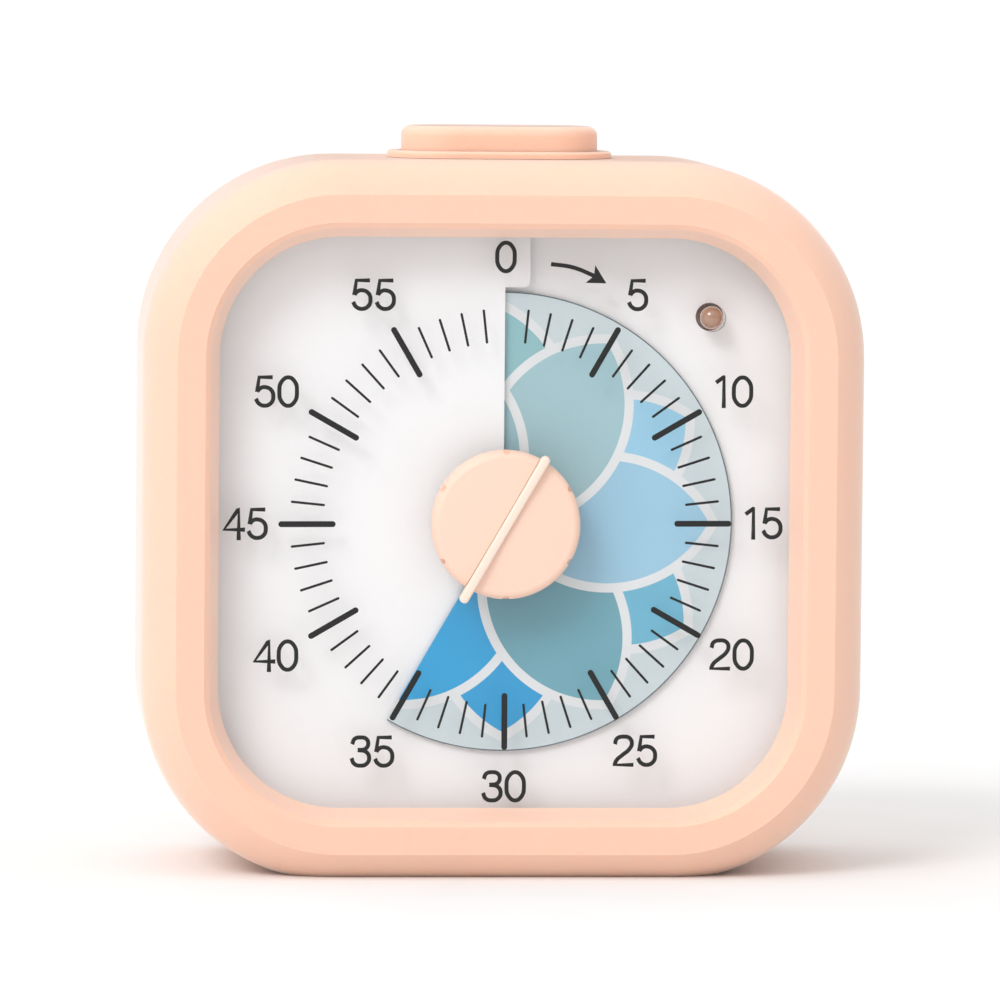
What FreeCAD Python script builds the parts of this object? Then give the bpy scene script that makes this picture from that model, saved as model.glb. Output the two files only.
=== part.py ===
"""A desk countdown timer: a rounded square case in a soft sleeve, a spiral face with a sliding
colour disc, a knob with a small gear movement, two cells, a lamp, a top button and a battery door.

Everything is modelled about the dial's axis (x = 0, z = 0) with the face to -Y, and is raised at
the end so that the flat base is at z = 0. Lengths are in millimetres and angles in degrees.
Dial angles run clockwise from 12 o'clock, as seen from the front.
"""

import FreeCAD, Part
import math
import os

from FreeCAD import Vector

# Case, measured from the middle of the square
case_half = 44.9          # sleeve outside, to a flat side
corner_radius = 24.4      # of the sleeve's outside; all corner arcs share its centre
base_cut = 1.0            # how much the base is flattened
band_width = 4.1          # rounded band outside the flat front ring
ring_width = 3.95
bezel_draft = 1.4         # how much the window is smaller than the ring's inner edge
band_angle = 35.0         # how far the band leans back where it leaves the ring
rear_round = 7.0          # radius of the sleeve's back edge
rear_lip = 8.9            # width of the sleeve's back edge and lip
edge_soft = 0.5           # small round on the sleeve's ring edge

# Shells
sleeve_wall = 2.0
sleeve_gap = 0.1          # sleeve to housing
lip_wall = 1.5            # sleeve lip that lines the bezel
shell_wall = 1.9
split_ahead = 4.0         # housings' seam, in front of the back edge's round
rear_panel_sunk = 1.1     # rear panel, below the sleeve's back edge
rear_panel_gap = 0.4      # rear panel to the sleeve's lip
rear_wall = 2.0
seam_gap = 0.05           # pieces that are pressed or glued together

# Lens and dial
lens_sunk = 4.8           # lens face, behind the front ring
lens_thick = 1.3
pocket_gap = 0.55         # lens pocket to the sleeve's lip
lens_gap = 0.2            # lens to its pocket
ledge_hidden = 0.95       # ledge behind the lens, outside the window
ledge_thick = 1.0
plate_thick = 0.5
sheet_thick = 0.3
sheet_gap = 0.3           # free air between the face plate and the disc
plate_behind_lens = 2.85  # middle of the face plate at its lowest, behind the lens's back
plate_edge_gap = 0.9      # face plate's edge, inside the lens pocket
plate_bore = 4.0
disc_radius = 28.6
step_radius = 29.2        # where the step at 12 o'clock moves to the right
step_shift = 3.1
spiral_parts = 24         # ruled parts in one turn of a spiral sheet
set_minutes = 35.0        # time that is set at rest

# Lamp
lamp_inset = 19.3         # lamp's axis, in from the case's top and right sides
lamp_radius = 1.45
lamp_hole = 1.7
lamp_length = 4.7
lamp_flange_radius = 1.9
lamp_flange_thick = 1.0
lead_pitch = 1.27
lead_side = 0.5
lamp_board_left = 2.2     # board's near edge, from the lamp's axis
lamp_board_thick = 1.0
lamp_screw_away = 6.5     # board's screw, from the lamp's axis

# Knob and shaft
knob_radius = 9.2
knob_gap = 0.4            # knob back to lens
knob_rim_height = 2.2
knob_height = 3.6
knob_crown = 0.35         # how much the knob's face is domed
knob_hollow = 1.3         # depth of the hollow in the knob's back
knob_hollow_wall = 1.3
notch_count = 6
notch_radius = 0.45
pointer_width = 1.2
pointer_front = 0.15      # pointer top, behind the front ring
pointer_reach_tip = 10.8
pointer_reach_tail = 9.45
pointer_depth = 1.6
shaft_radius = 2.0
shaft_flat = 1.5          # distance of the shaft's drive flat from its axis
running_gap = 0.05        # radial play of turning and sliding fits
lens_bore = 2.6
hub_radius = 3.55
knob_boss_radius = 4.2

# Inner frame
chassis_edge_gap = 1.6    # inner frame's edge to the housing's inside
chassis_thick = 1.5
chassis_behind_disc = 0.7
bush_radius = 4.0
bush_flange_radius = 5.4
bush_flange_thick = 0.6
bush_length = 2.4
corner_boss_out = 13.0    # chassis bosses, out from the corner arcs' centre both ways
corner_boss_radius = 2.35
pilot_radius = 0.8
chassis_screw_shank = 0.75
chassis_screw_head = 1.6
chassis_screw_head_thick = 1.0
chassis_screw_length = 3.6
post_radius = 1.0
post_outside = 0.3        # posts' axes, outside the ledge's edge

# Movement
gear_module = 0.5
centre_teeth = 48
centre_gear_thick = 1.4
pinion_teeth = 12
small_pinion_teeth = 12
wheel_teeth = 40
gear_backlash = 0.16
gear_pressure_angle = 20.0
addendum = 0.8            # in modules
dedendum = 1.1            # in modules
wheel_direction = 45.0    # of the intermediate wheel, about the shaft, from +X towards +Z
rotor_direction = 150.0   # of the rotor, about the intermediate wheel
arbor_radius = 0.5
movement_left = -23.0
movement_right = 22.9
movement_low = -15.0
movement_high = 27.5
movement_corner = 2.5
movement_post = 2.0
movement_post_inset = 2.6
movement_depth = 8.6
movement_split = 6.0      # seam of its case, behind its front
centre_gear_back = 1.6    # wheels, behind the movement's front
wheel_behind = 2.0
wheel_thick = 1.0
pinion_longer = 0.2
rotor_pinion_long = 1.4
rotor_neck_radius = 1.2
rotor_neck_long = 2.0
magnet_radius = 2.8
magnet_long = 1.8
coil_from_rotor = 6.5     # coil's near end, from the rotor's axis
coil_long = 10.0
coil_flange = 2.6
coil_flange_thick = 0.6
coil_tube_radius = 1.35
coil_bore = 1.0
winding_radius = 2.3
core_half = 0.8
core_thick = 1.0
core_over = 2.3           # core beyond the coil at each end
stator_thick = 1.0
stator_half = 4.2
stator_bore = 3.2
stator_over = 3.2         # stator beyond the coil's far end
stator_past_rotor = 4.8
stator_window_half = 3.0
stator_window_gap = 0.4
stator_seat_radius = 1.2
movement_wall = 1.0

# Battery compartment, cells and door
cell_radius = 7.1
cell_length = 49.2
cell_nub_radius = 2.75
cell_nub_length = 1.3
cell_pitch = 14.7
spring_room = 6.1         # bay longer than a cell and its contacts
contact_thick = 0.3
contact_half = 5.0
bay_gap = 0.35
bay_wall = 1.2
door_overlap = 0.3        # door beyond the bay at each end
door_over_top = 0.9       # and above it
bay_behind_movement = 0.45
cell_to_door = 0.4
door_thick = 1.7
door_gap = 0.2
door_pin_radius = 0.8
door_pin_reach = 1.3
door_pin_sunk = 1.05      # pin axis below the rear panel's face
door_pin_margin = 0.27    # pins' ends, inside the rear panel's corner arcs
door_corner = 1.5
thumb_radius = 5.0        # finger dip above the door
thumb_deep = 1.2
grip_count = 5
grip_step = 1.4
grip_half_x = 7.0

# Top button
cap_length = 24.65
cap_depth = 12.5
cap_high = 4.0            # above the sleeve's top
cap_round = 1.2
cap_wall = 1.2
presser_radius = 1.6
bezel_length = 28.2
bezel_depth = 16.0
bezel_high = 0.9
bezel_inside = 0.6        # bezel's sleeve, inside its plate's edge
bezel_below = 1.1         # bezel's foot, below the housing's top wall
bezel_lug = 0.7
bezel_lug_half = 2.0
button_gap = 0.3
button_travel = 0.8
switch_board_below = 13.0 # board's upper face, below the sleeve's top
switch_board_thick = 1.2
switch_board_depth = 9.0
switch_board_over = 3.0   # board's ends, beyond its posts
switch_post_x = 16.5
switch_post_radius = 2.0
switch_half = 3.0
switch_high = 3.6
switch_floor = 0.8
plunger_radius = 1.75
plunger_high = 5.2        # plunger's top, above the board

# Back of the case
volume_x = 20.0
slider_length = 5.0
slider_height = 3.2
slider_travel = 4.0
slider_sunk = 0.3         # slider top, below the rear panel's face
slot_depth = 0.9          # finger trough round the slider
slot_margin = 1.4         # trough's edge, outside the slider's reach
switch_body_half = 6.5
switch_body_high = 6.0
slot_half_high = 1.3
stem_half = 1.5
board_side_gap = 10.9     # board's edges, in from the housing's inside
board_top_gap = 8.4
board_above_bay = 6.25
board_thick = 1.2
board_post_inset = 3.0
chip_size = 8.0
chip_thick = 1.3
chip_leg_pitch = 1.2
chip_leg_width = 0.4
chip_leg_reach = 1.2
can_radius = 1.0
can_long = 6.0
can_x = 9.0
board_behind = 4.6        # board's back face, in front of the rear wall
board_post_radius = 1.9
buzzer_x = -12.0
buzzer_radius = 11.0
buzzer_thick = 4.4
sound_hole_radius = 0.8
sound_ring_step = 3.0
sound_rings = 2

# Fasteners
case_screw_out_x = 9.0    # case screws, out from the corner arcs' centre
case_screw_out_z = 15.7
case_screw_sunk = 3.4     # heads' seats, below the rear rim
case_boss_radius = 2.7
case_screw_shank = 1.2
case_screw_head = 2.2
case_screw_head_thick = 1.4
case_screw_length = 9.0
small_screw_shank = 0.8
small_screw_head = 1.5
small_screw_head_thick = 0.9
small_screw_length = 4.0
slot_width = 0.5
slot_deep = 0.5

# Worked out from the sizes above
corner_centre = case_half - corner_radius
centre_z = case_half - base_cut
ring_outer = case_half - band_width
ring_inner = ring_outer - ring_width
window_half = ring_inner - bezel_draft
rear_opening = case_half - rear_lip
rear_panel_half = rear_opening - rear_panel_gap
pocket_half = ring_inner + lip_wall + pocket_gap
lens_half = pocket_half - lens_gap
ledge_inner = window_half + ledge_hidden
plate_half = pocket_half - plate_edge_gap
sheet_pitch = plate_thick + sheet_thick + 2 * sheet_gap
case_depth = (
    lens_sunk + lens_thick + plate_behind_lens + sheet_pitch / 2 + sheet_thick / 2
    + chassis_behind_disc + chassis_thick + movement_depth + bay_behind_movement + bay_wall
    + bay_gap + 2 * cell_radius + cell_to_door + door_thick + rear_panel_sunk
)
front_y = -case_depth / 2
back_y = case_depth / 2
band_radius = (case_half - ring_outer) / (1 - math.sin(math.radians(band_angle)))
band_u = case_half - band_radius
band_y = front_y + band_radius * math.cos(math.radians(band_angle))
rear_u = case_half - rear_round
rear_y = back_y - rear_round
split_y = rear_y - split_ahead
housing_half = case_half - sleeve_wall - sleeve_gap
cavity_half = housing_half - shell_wall
housing_front = front_y + sleeve_wall + sleeve_gap
lens_front = front_y + lens_sunk
lens_back = lens_front + lens_thick
ledge_back = lens_back + ledge_thick
rear_panel_y = back_y - rear_panel_sunk
rear_rim_y = back_y - sleeve_wall - sleeve_gap
rear_inner_y = rear_panel_y - rear_wall
plate_low_y = lens_back + plate_behind_lens
disc_back_limit = plate_low_y + sheet_pitch / 2 + sheet_thick / 2
chassis_front = disc_back_limit + chassis_behind_disc
chassis_back = chassis_front + chassis_thick
set_angle = set_minutes * 6.0
lamp_x = case_half - lamp_inset
lamp_z = lamp_x
lamp_screw_x = lamp_x + lamp_screw_away
lamp_flange_y = plate_low_y + plate_thick / 2 + 0.1
knob_back = lens_front - knob_gap
movement_front_y = chassis_back
movement_back_y = movement_front_y + movement_depth
board_back_y = rear_inner_y - board_behind
chassis_half = cavity_half - chassis_edge_gap
corner_boss = corner_centre + corner_boss_out
post_offset = ledge_inner + post_outside
case_screw_x = corner_centre + case_screw_out_x
case_screw_z = corner_centre + case_screw_out_z
bay_half_x = (cell_length + cell_nub_length + 2 * contact_thick + spring_room) / 2
door_half_x = bay_half_x + door_overlap
pin_reach_x = door_half_x + door_pin_reach
panel_corner = rear_panel_half - corner_centre
pin_across = max(0.0, pin_reach_x - corner_centre)
pin_drop = math.sqrt(panel_corner**2 - pin_across**2)
door_low = door_pin_radius + door_pin_margin - corner_centre - pin_drop
cell_y = movement_back_y + bay_behind_movement + bay_wall + bay_gap + cell_radius
cell_lower_z = door_low + bay_wall + bay_gap + cell_radius
cell_upper_z = cell_lower_z + cell_pitch
bay_low = cell_lower_z - cell_radius - bay_gap
bay_high = cell_upper_z + cell_radius + bay_gap
bay_floor_y = cell_y - cell_radius - bay_gap
door_back_y = rear_panel_y - door_thick
door_high = bay_high + door_over_top
board_low = bay_high + board_above_bay
board_high = cavity_half - board_top_gap
board_half_x = cavity_half - board_side_gap
board_middle = (board_low + board_high) / 2
buzzer_z = board_middle
volume_z = board_middle
door_pin_y = rear_panel_y - door_pin_sunk
case_screw_seat = rear_rim_y - case_screw_sunk
shaft_front_y = knob_back - knob_height + 1.2
movement_split_y = movement_front_y + movement_split
shaft_end_y = movement_back_y - movement_wall - 0.3
centre_gear_y = movement_front_y + centre_gear_back
wheel_y = centre_gear_y + wheel_behind
rotor_y = wheel_y - pinion_longer
pinion_reach = gear_module * (centre_teeth + pinion_teeth) / 2
rotor_reach = gear_module * (wheel_teeth + small_pinion_teeth) / 2
wheel_x = pinion_reach * math.cos(math.radians(wheel_direction))
wheel_z = pinion_reach * math.sin(math.radians(wheel_direction))
rotor_x = wheel_x + rotor_reach * math.cos(math.radians(rotor_direction))
rotor_z = wheel_z + rotor_reach * math.sin(math.radians(rotor_direction))
board_posts = [
    (x, z)
    for x in (board_post_inset - board_half_x, board_half_x - board_post_inset)
    for z in (board_low + board_post_inset, board_high - board_post_inset)
]
coil_right = rotor_x - coil_from_rotor
coil_left = coil_right - coil_long
stator_y = rotor_y + rotor_pinion_long + 0.4
coil_y = stator_y - core_thick / 2
switch_post_foot = case_half - switch_board_below
switch_board_low = switch_post_foot - switch_board_thick
plunger_top = switch_post_foot + plunger_high
sleeve_top = case_half
housing_top = housing_half
shell_under = cavity_half
bezel_body_length = bezel_length - 2 * bezel_inside
bezel_body_depth = bezel_depth - 2 * bezel_inside
bezel_foot = shell_under - bezel_below
wide = 2 * case_half      # reach of shapes that only cut or bound others


def move(shape, x=0.0, y=0.0, z=0.0):
    """A copy of shape, moved."""
    copy = shape.copy()
    copy.translate(Vector(x, y, z))
    return copy


def turn(shape, angle, x=0.0, z=0.0):
    """A copy of shape, turned clockwise as seen from the front, about a line along Y."""
    copy = shape.copy()
    copy.rotate(Vector(x, 0, z), Vector(0, 1, 0), angle)
    return copy


def rod(x, z, radius, y_from, y_to):
    """A round bar along Y."""
    return Part.makeCylinder(radius, y_to - y_from, Vector(x, y_from, z), Vector(0, 1, 0))


def tube(x, z, outer, inner, y_from, y_to):
    """A round tube along Y."""
    return rod(x, z, outer, y_from, y_to).cut(rod(x, z, inner, y_from - 1, y_to + 1))


def block(x_from, x_to, y_from, y_to, z_from, z_to):
    """A box from its two corners."""
    corner = Vector(x_from, y_from, z_from)
    return Part.makeBox(x_to - x_from, y_to - y_from, z_to - z_from, corner)


def join(shapes):
    """One solid from shapes that touch or overlap."""
    shapes = list(shapes)
    return shapes[0].fuse(shapes[1:]).removeSplitter()


def fold(u, y):
    """A point of a section: u is the distance from the middle and y the depth."""
    return Vector(u, y, 0)


def section(start, *steps):
    """A closed face in the XY plane. Each step is a point, or a middle point and an end for an arc."""
    edges = []
    last = start
    for step in steps:
        if isinstance(step[0], tuple):
            middle, end = step
            edges.append(Part.Arc(fold(*last), fold(*middle), fold(*end)).toShape())
        else:
            end = step
            edges.append(Part.LineSegment(fold(*last), fold(*end)).toShape())
        last = end
    edges.append(Part.LineSegment(fold(*last), fold(*start)).toShape())
    return Part.Face(Part.Wire(edges))


def on_arc(u, y, radius, angle):
    """A point on a circle in a section, with the angle measured from straight ahead to the side."""
    return (u + radius * math.sin(math.radians(angle)), y - radius * math.cos(math.radians(angle)))


def square_ring(face):
    """A section carried round the rounded square of the case."""
    side = move(face, z=-corner_centre).extrude(Vector(0, 0, 2 * corner_centre))
    profile = move(face, z=corner_centre)
    corner = profile.revolve(Vector(corner_centre, 0, corner_centre), Vector(0, 1, 0), -90)
    parts = []
    for quarter in range(4):
        parts.append(turn(side, 90 * quarter))
        parts.append(turn(corner, 90 * quarter))
    return join(parts)


def rounded_plate(half, y_from, y_to):
    """A flat plate with the case's rounded square outline."""
    radius = half - corner_centre
    plate = block(-half, half, y_from, y_to, -half, half)
    upright = [e for e in plate.Edges if abs(e.tangentAt(e.FirstParameter).y) > 0.9]
    return plate.makeFillet(radius, upright)


def stadium(length, depth, z_from, z_to):
    """An upright prism with a plan of two half rounds joined by straight sides."""
    radius = depth / 2
    reach = length / 2 - radius
    ends = [
        Part.makeCylinder(radius, z_to - z_from, Vector(side * reach, 0, z_from))
        for side in (-1, 1)
    ]
    return join([block(-reach, reach, -radius, radius, z_from, z_to)] + ends)


def silicone_sleeve():
    """The soft skin: front ring, bezel lining, band, sides and back lip."""
    middle = (band_angle + 90) / 2
    inner_radius = band_radius - sleeve_wall
    inner_front = front_y + sleeve_wall
    start_cos = (band_y - inner_front) / inner_radius
    start = math.degrees(math.acos(start_cos))
    lip_back = lens_front - seam_gap
    lip_slope = ring_inner - window_half
    face = section(
        (ring_inner + edge_soft, front_y),
        (ring_outer, front_y),
        (on_arc(band_u, band_y, band_radius, middle), (case_half, band_y)),
        (case_half, rear_y),
        (on_arc(rear_u, rear_y, rear_round, 135), (rear_u, back_y)),
        (rear_opening, back_y),
        (rear_opening, back_y - sleeve_wall),
        (rear_u, back_y - sleeve_wall),
        (
            on_arc(rear_u, rear_y, rear_round - sleeve_wall, 135),
            (case_half - sleeve_wall, rear_y),
        ),
        (case_half - sleeve_wall, band_y),
        (
            on_arc(band_u, band_y, inner_radius, (start + 90) / 2),
            on_arc(band_u, band_y, inner_radius, start),
        ),
        (ring_inner + lip_wall, inner_front),
        (window_half + lip_wall, lip_back),
        (window_half, lip_back),
        (ring_inner - edge_soft * lip_slope / lens_sunk, front_y + edge_soft),
    )
    sleeve = square_ring(face)
    below = -centre_z
    sleeve = sleeve.cut(block(-wide, wide, front_y - 1, back_y + 1, -wide, below))
    hole = stadium(
        bezel_body_length + button_gap,
        bezel_body_depth + button_gap,
        housing_top - 2,
        sleeve_top + 2,
    )
    return sleeve.cut(hole)


def front_housing():
    """The hard shell: lens pocket, ledge, side walls, bosses and the top button's posts."""
    outer_radius = band_radius - sleeve_wall - sleeve_gap
    start = math.degrees(math.acos((band_y - housing_front) / outer_radius))
    face = section(
        (pocket_half, housing_front),
        on_arc(band_u, band_y, outer_radius, start),
        (on_arc(band_u, band_y, outer_radius, (start + 90) / 2), (housing_half, band_y)),
        (housing_half, split_y),
        (cavity_half, split_y),
        (cavity_half, ledge_back),
        (ledge_inner, ledge_back),
        (ledge_inner, lens_back),
        (pocket_half, lens_back),
    )
    shell = square_ring(face)
    adds = []
    holes = []
    for x in (-1, 1):
        for z in (-1, 1):
            boss_x = x * corner_boss
            boss_z = z * corner_boss
            adds.append(rod(boss_x, boss_z, corner_boss_radius, lens_back + 0.5, chassis_front))
            pilot = rod(boss_x, boss_z, pilot_radius, ledge_back + 0.8, chassis_front + 1)
            holes.append(pilot)
            adds.append(
                rod(x * case_screw_x, z * case_screw_z, case_boss_radius, chassis_back, split_y)
            )
            holes.append(
                rod(
                    x * case_screw_x,
                    z * case_screw_z,
                    case_screw_shank + seam_gap,
                    split_y - case_screw_length,
                    split_y + 1,
                )
            )
        post_z = switch_post_foot
        adds.append(
            Part.makeCylinder(
                switch_post_radius, shell_under - post_z + 0.5, Vector(x * switch_post_x, 0, post_z)
            )
        )
        holes.append(
            Part.makeCylinder(
                pilot_radius, small_screw_length, Vector(x * switch_post_x, 0, post_z - 0.5)
            )
        )
    shell = join([shell] + adds)
    button_hole = stadium(
        bezel_body_length + button_gap,
        bezel_body_depth + button_gap,
        shell_under - 1,
        housing_top + 1,
    )
    return shell.cut(holes + [button_hole])


def rear_housing():
    """The back shell: rim under the sleeve's lip, flat panel, battery bay, board posts and holes."""
    rim_round = rear_round - sleeve_wall - sleeve_gap
    face = section(
        (cavity_half, split_y),
        (housing_half, split_y),
        (housing_half, rear_y),
        (on_arc(rear_u, rear_y, rim_round, 135), (rear_u, rear_rim_y)),
        (rear_panel_half, rear_rim_y),
        (rear_panel_half, rear_panel_y),
        (ledge_inner - 3, rear_panel_y),
        (ledge_inner - 3, rear_inner_y),
        (rear_u, rear_rim_y - rear_wall),
        (cavity_half, rear_y),
    )
    shell = square_ring(face)
    panel = rounded_plate(ledge_inner - 3, rear_inner_y, rear_panel_y)
    bay = block(
        -bay_half_x - bay_wall,
        bay_half_x + bay_wall,
        bay_floor_y - bay_wall,
        rear_inner_y + 0.5,
        bay_low - bay_wall,
        bay_high + bay_wall,
    )
    adds = [panel, bay]
    for x in (-1, 1):
        for z in (-1, 1):
            adds.append(
                rod(x * case_screw_x, z * case_screw_z, case_boss_radius, split_y, rear_y + 3.0)
            )
    for x, z in board_posts:
        adds.append(rod(x, z, board_post_radius, board_back_y, rear_inner_y + 0.5))
    shell = join([shell] + adds)
    bay_room = block(-bay_half_x, bay_half_x, bay_floor_y, back_y, bay_low, bay_high)
    door_room = block(
        -door_half_x - door_gap,
        door_half_x + door_gap,
        door_back_y,
        back_y,
        door_low,
        door_high + door_gap,
    )
    groove_reach = door_half_x + door_gap
    groove_radius = door_pin_sunk + 0.45
    groove = Part.makeCylinder(
        groove_radius, 2 * groove_reach, Vector(-groove_reach, door_pin_y, door_low), Vector(1, 0, 0)
    )
    relief = block(
        -groove_reach, groove_reach, door_pin_y, back_y, door_low - door_pin_sunk - 0.6, door_low
    )
    pin_reach = pin_reach_x + door_gap
    pin_holes = Part.makeCylinder(
        door_pin_radius + running_gap,
        2 * pin_reach,
        Vector(-pin_reach, door_pin_y, door_low),
        Vector(1, 0, 0),
    )
    thumb = rod(0, door_high + 2.0, thumb_radius, rear_panel_y - thumb_deep, rear_panel_y)
    cuts = [bay_room, door_room, groove, relief, pin_holes, thumb]
    for x in (-1, 1):
        for z in (-1, 1):
            screw_x = x * case_screw_x
            screw_z = z * case_screw_z
            seat_y = case_screw_seat
            cuts.append(rod(screw_x, screw_z, case_screw_shank + 0.3, split_y - 1, back_y))
            cuts.append(rod(screw_x, screw_z, case_screw_head + 0.3, seat_y, back_y))
    for x, z in board_posts:
        cuts.append(rod(x, z, pilot_radius, board_back_y - 1, rear_inner_y - 0.4))
    for x, z in sound_holes():
        cuts.append(rod(buzzer_x + x, buzzer_z + z, sound_hole_radius, rear_inner_y - 1, back_y))
    slot_half = (slider_length + slider_travel) / 2 + button_gap
    middle = volume_x + slider_travel / 2
    high = slider_height / 2 + button_gap
    cuts.append(
        block(
            middle - slot_half - slot_margin,
            middle + slot_half + slot_margin,
            rear_panel_y - slot_depth,
            back_y,
            volume_z - high - slot_margin,
            volume_z + high + slot_margin,
        )
    )
    reach = slider_travel / 2 + stem_half + button_gap
    cuts.append(
        block(
            middle - reach,
            middle + reach,
            rear_inner_y - 1,
            back_y,
            volume_z - slot_half_high,
            volume_z + slot_half_high,
        )
    )
    return shell.cut(cuts)


def sound_holes():
    """Places of the sound holes: one in the middle and rings of six and twelve round it."""
    places = [(0.0, 0.0)]
    for ring in range(1, sound_rings + 1):
        for step in range(6 * ring):
            angle = math.radians(step * 60.0 / ring)
            radius = ring * sound_ring_step
            places.append((radius * math.sin(angle), radius * math.cos(angle)))
    return places


def dial_lens():
    """The clear window, with holes for the knob's shaft and the lamp."""
    lens = rounded_plate(lens_half, lens_front, lens_back)
    holes = [
        rod(0, 0, lens_bore, lens_front - 1, lens_back + 1),
        rod(lamp_x, lamp_z, lamp_hole, lens_front - 1, lens_back + 1),
    ]
    return lens.cut(holes)


def plate_y(angle):
    """Depth of the middle of the face plate at a dial angle."""
    return plate_low_y - sheet_pitch * angle / 360


def sheet_y(angle):
    """Depth of the middle of the colour disc, whose angles below 0 lie under the face plate."""
    return plate_y(angle) - sheet_pitch / 2


def spiral_sheet(first, last, depth, thick, inner, outer):
    """A flat-sided sheet that climbs one pitch in a turn, from one dial angle to another."""
    parts = max(1, round((last - first) * spiral_parts / 360))
    sections = []
    for part in range(parts + 1):
        angle = first + (last - first) * part / parts
        across = Vector(math.sin(math.radians(angle)), 0, math.cos(math.radians(angle)))
        middle = depth(angle)
        corners = []
        for radius, side in ((inner, -1), (outer, -1), (outer, 1), (inner, 1)):
            corners.append(across * radius + Vector(0, middle + side * thick / 2, 0))
        sections.append(Part.makePolygon(corners + corners[:1]))
    return Part.makeLoft(sections, True, True)


def face_plate():
    """The white face: one turn of a spiral sheet, whose raised end steps to the right near the top."""
    room_front = plate_y(360) - 2
    room_back = plate_y(0) + 2
    sheet = spiral_sheet(0, 360, plate_y, plate_thick, plate_bore / 2, wide)
    tab = spiral_sheet(360, 360 + 360 / spiral_parts, plate_y, plate_thick, plate_bore / 2, wide)
    tab_room = block(0, step_shift, room_front, room_back, step_radius, wide)
    corner = [e for e in tab_room.Edges if is_step_corner(e)]
    tab = tab.common(tab_room.makeFillet(step_shift * 0.3, corner))
    outline = rounded_plate(plate_half, room_front, room_back)
    plate = sheet.fuse(tab).common(outline)
    holes = [
        rod(0, 0, plate_bore, room_front, room_back),
        rod(lamp_x, lamp_z, lamp_hole, room_front, room_back),
    ]
    for x in (-1, 1):
        for z in (-1, 1):
            hole_radius = corner_boss_radius + button_gap
            holes.append(rod(x * corner_boss, z * corner_boss, hole_radius, room_front, room_back))
    return plate.cut(holes)


def is_step_corner(edge):
    """True for the edge of the step's tab that runs along Y at its lower right corner."""
    middle = edge.CenterOfMass
    return abs(middle.x - step_shift) < 0.01 and abs(middle.z - step_radius) < 0.01


def colour_disc():
    """The printed sheet: one turn, from its leading edge at the set time back round under the plate."""
    slit = 0.4
    sheet = spiral_sheet(
        set_angle - 360 + slit, set_angle, sheet_y, sheet_thick, hub_radius / 2, disc_radius * 1.1
    )
    room_front = sheet_y(set_angle) - 2
    room_back = sheet_y(set_angle - 360) + 2
    room = tube(0, 0, disc_radius, hub_radius + seam_gap, room_front, room_back)
    return sheet.common(room)


def drive_bar(radius, flat, y_from, y_to):
    """A round bar with one flat, turned to the set time."""
    bar = rod(0, 0, radius, y_from, y_to)
    cut = block(-2 * radius, 2 * radius, y_from - 1, y_to + 1, flat, 2 * radius)
    return turn(bar.cut(cut), set_angle)


def disc_hub():
    """The collar in the middle of the colour disc, which slides on the shaft's flat."""
    y_from = sheet_y(set_angle) - sheet_thick / 2
    y_to = sheet_y(set_angle - 360) + sheet_thick / 2
    bore = drive_bar(shaft_radius + running_gap, shaft_flat + running_gap, y_from - 1, y_to + 1)
    return rod(0, 0, hub_radius, y_from, y_to).cut(bore)


def setting_knob():
    """The round knob: hollow back, boss with a blind bore, domed face, notches and pointer groove."""
    rim_y = knob_back - knob_rim_height
    top_y = knob_back - knob_height
    shoulder = (knob_radius - 1.2, top_y + knob_crown)
    bore = shaft_radius + running_gap / 2
    bore_y = shaft_front_y - seam_gap
    hollow_y = knob_back - knob_hollow
    face = section(
        (bore, knob_back),
        (knob_boss_radius, knob_back),
        (knob_boss_radius, hollow_y),
        (knob_radius - knob_hollow_wall, hollow_y),
        (knob_radius - knob_hollow_wall, knob_back),
        (knob_radius, knob_back),
        (knob_radius, rim_y),
        ((knob_radius - 0.3, rim_y - 0.72), shoulder),
        ((knob_radius / 2, top_y + knob_crown / 4), (0, top_y)),
        (0, bore_y),
        (bore, bore_y),
    )
    knob = face.revolve(Vector(0, 0, 0), Vector(0, 1, 0), 360)
    cuts = [pointer_bar(pointer_width + running_gap)]
    for step in range(notch_count):
        angle = math.radians(step * 360 / notch_count)
        x = knob_radius * math.sin(angle)
        z = knob_radius * math.cos(angle)
        cuts.append(rod(x, z, notch_radius, top_y, rim_y + 0.9))
    return knob.cut(cuts)


def pointer_bar(width):
    """A bar across the knob with round ends, longer at its tip, turned to the set time."""
    y_from = front_y + pointer_front
    y_to = y_from + pointer_depth
    low = -pointer_reach_tail + width / 2
    high = pointer_reach_tip - width / 2
    bar = join(
        [
            block(-width / 2, width / 2, y_from, y_to, low, high),
            rod(0, low, width / 2, y_from, y_to),
            rod(0, high, width / 2, y_from, y_to),
        ]
    )
    return turn(bar, set_angle)


def knob_pointer():
    """The rib that is pressed into the knob's groove, with soft top edges."""
    bar = pointer_bar(pointer_width)
    top_y = front_y + pointer_front
    top_edges = [e for e in bar.Edges if abs(e.CenterOfMass.y - top_y) < 0.01]
    return bar.makeFillet(0.3, top_edges)


def knob_shaft():
    """The shaft: round in the knob and bush, flat where the disc's hub slides, thin at its end."""
    drive_front = lens_back + 0.2
    pivot = arbor_radius * 2
    return join(
        [
            rod(0, 0, shaft_radius, shaft_front_y, drive_front),
            drive_bar(shaft_radius, shaft_flat, drive_front, chassis_front),
            rod(0, 0, shaft_radius, chassis_front, shaft_end_y),
            rod(0, 0, pivot, shaft_end_y, movement_back_y - 0.3),
        ]
    )


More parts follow.
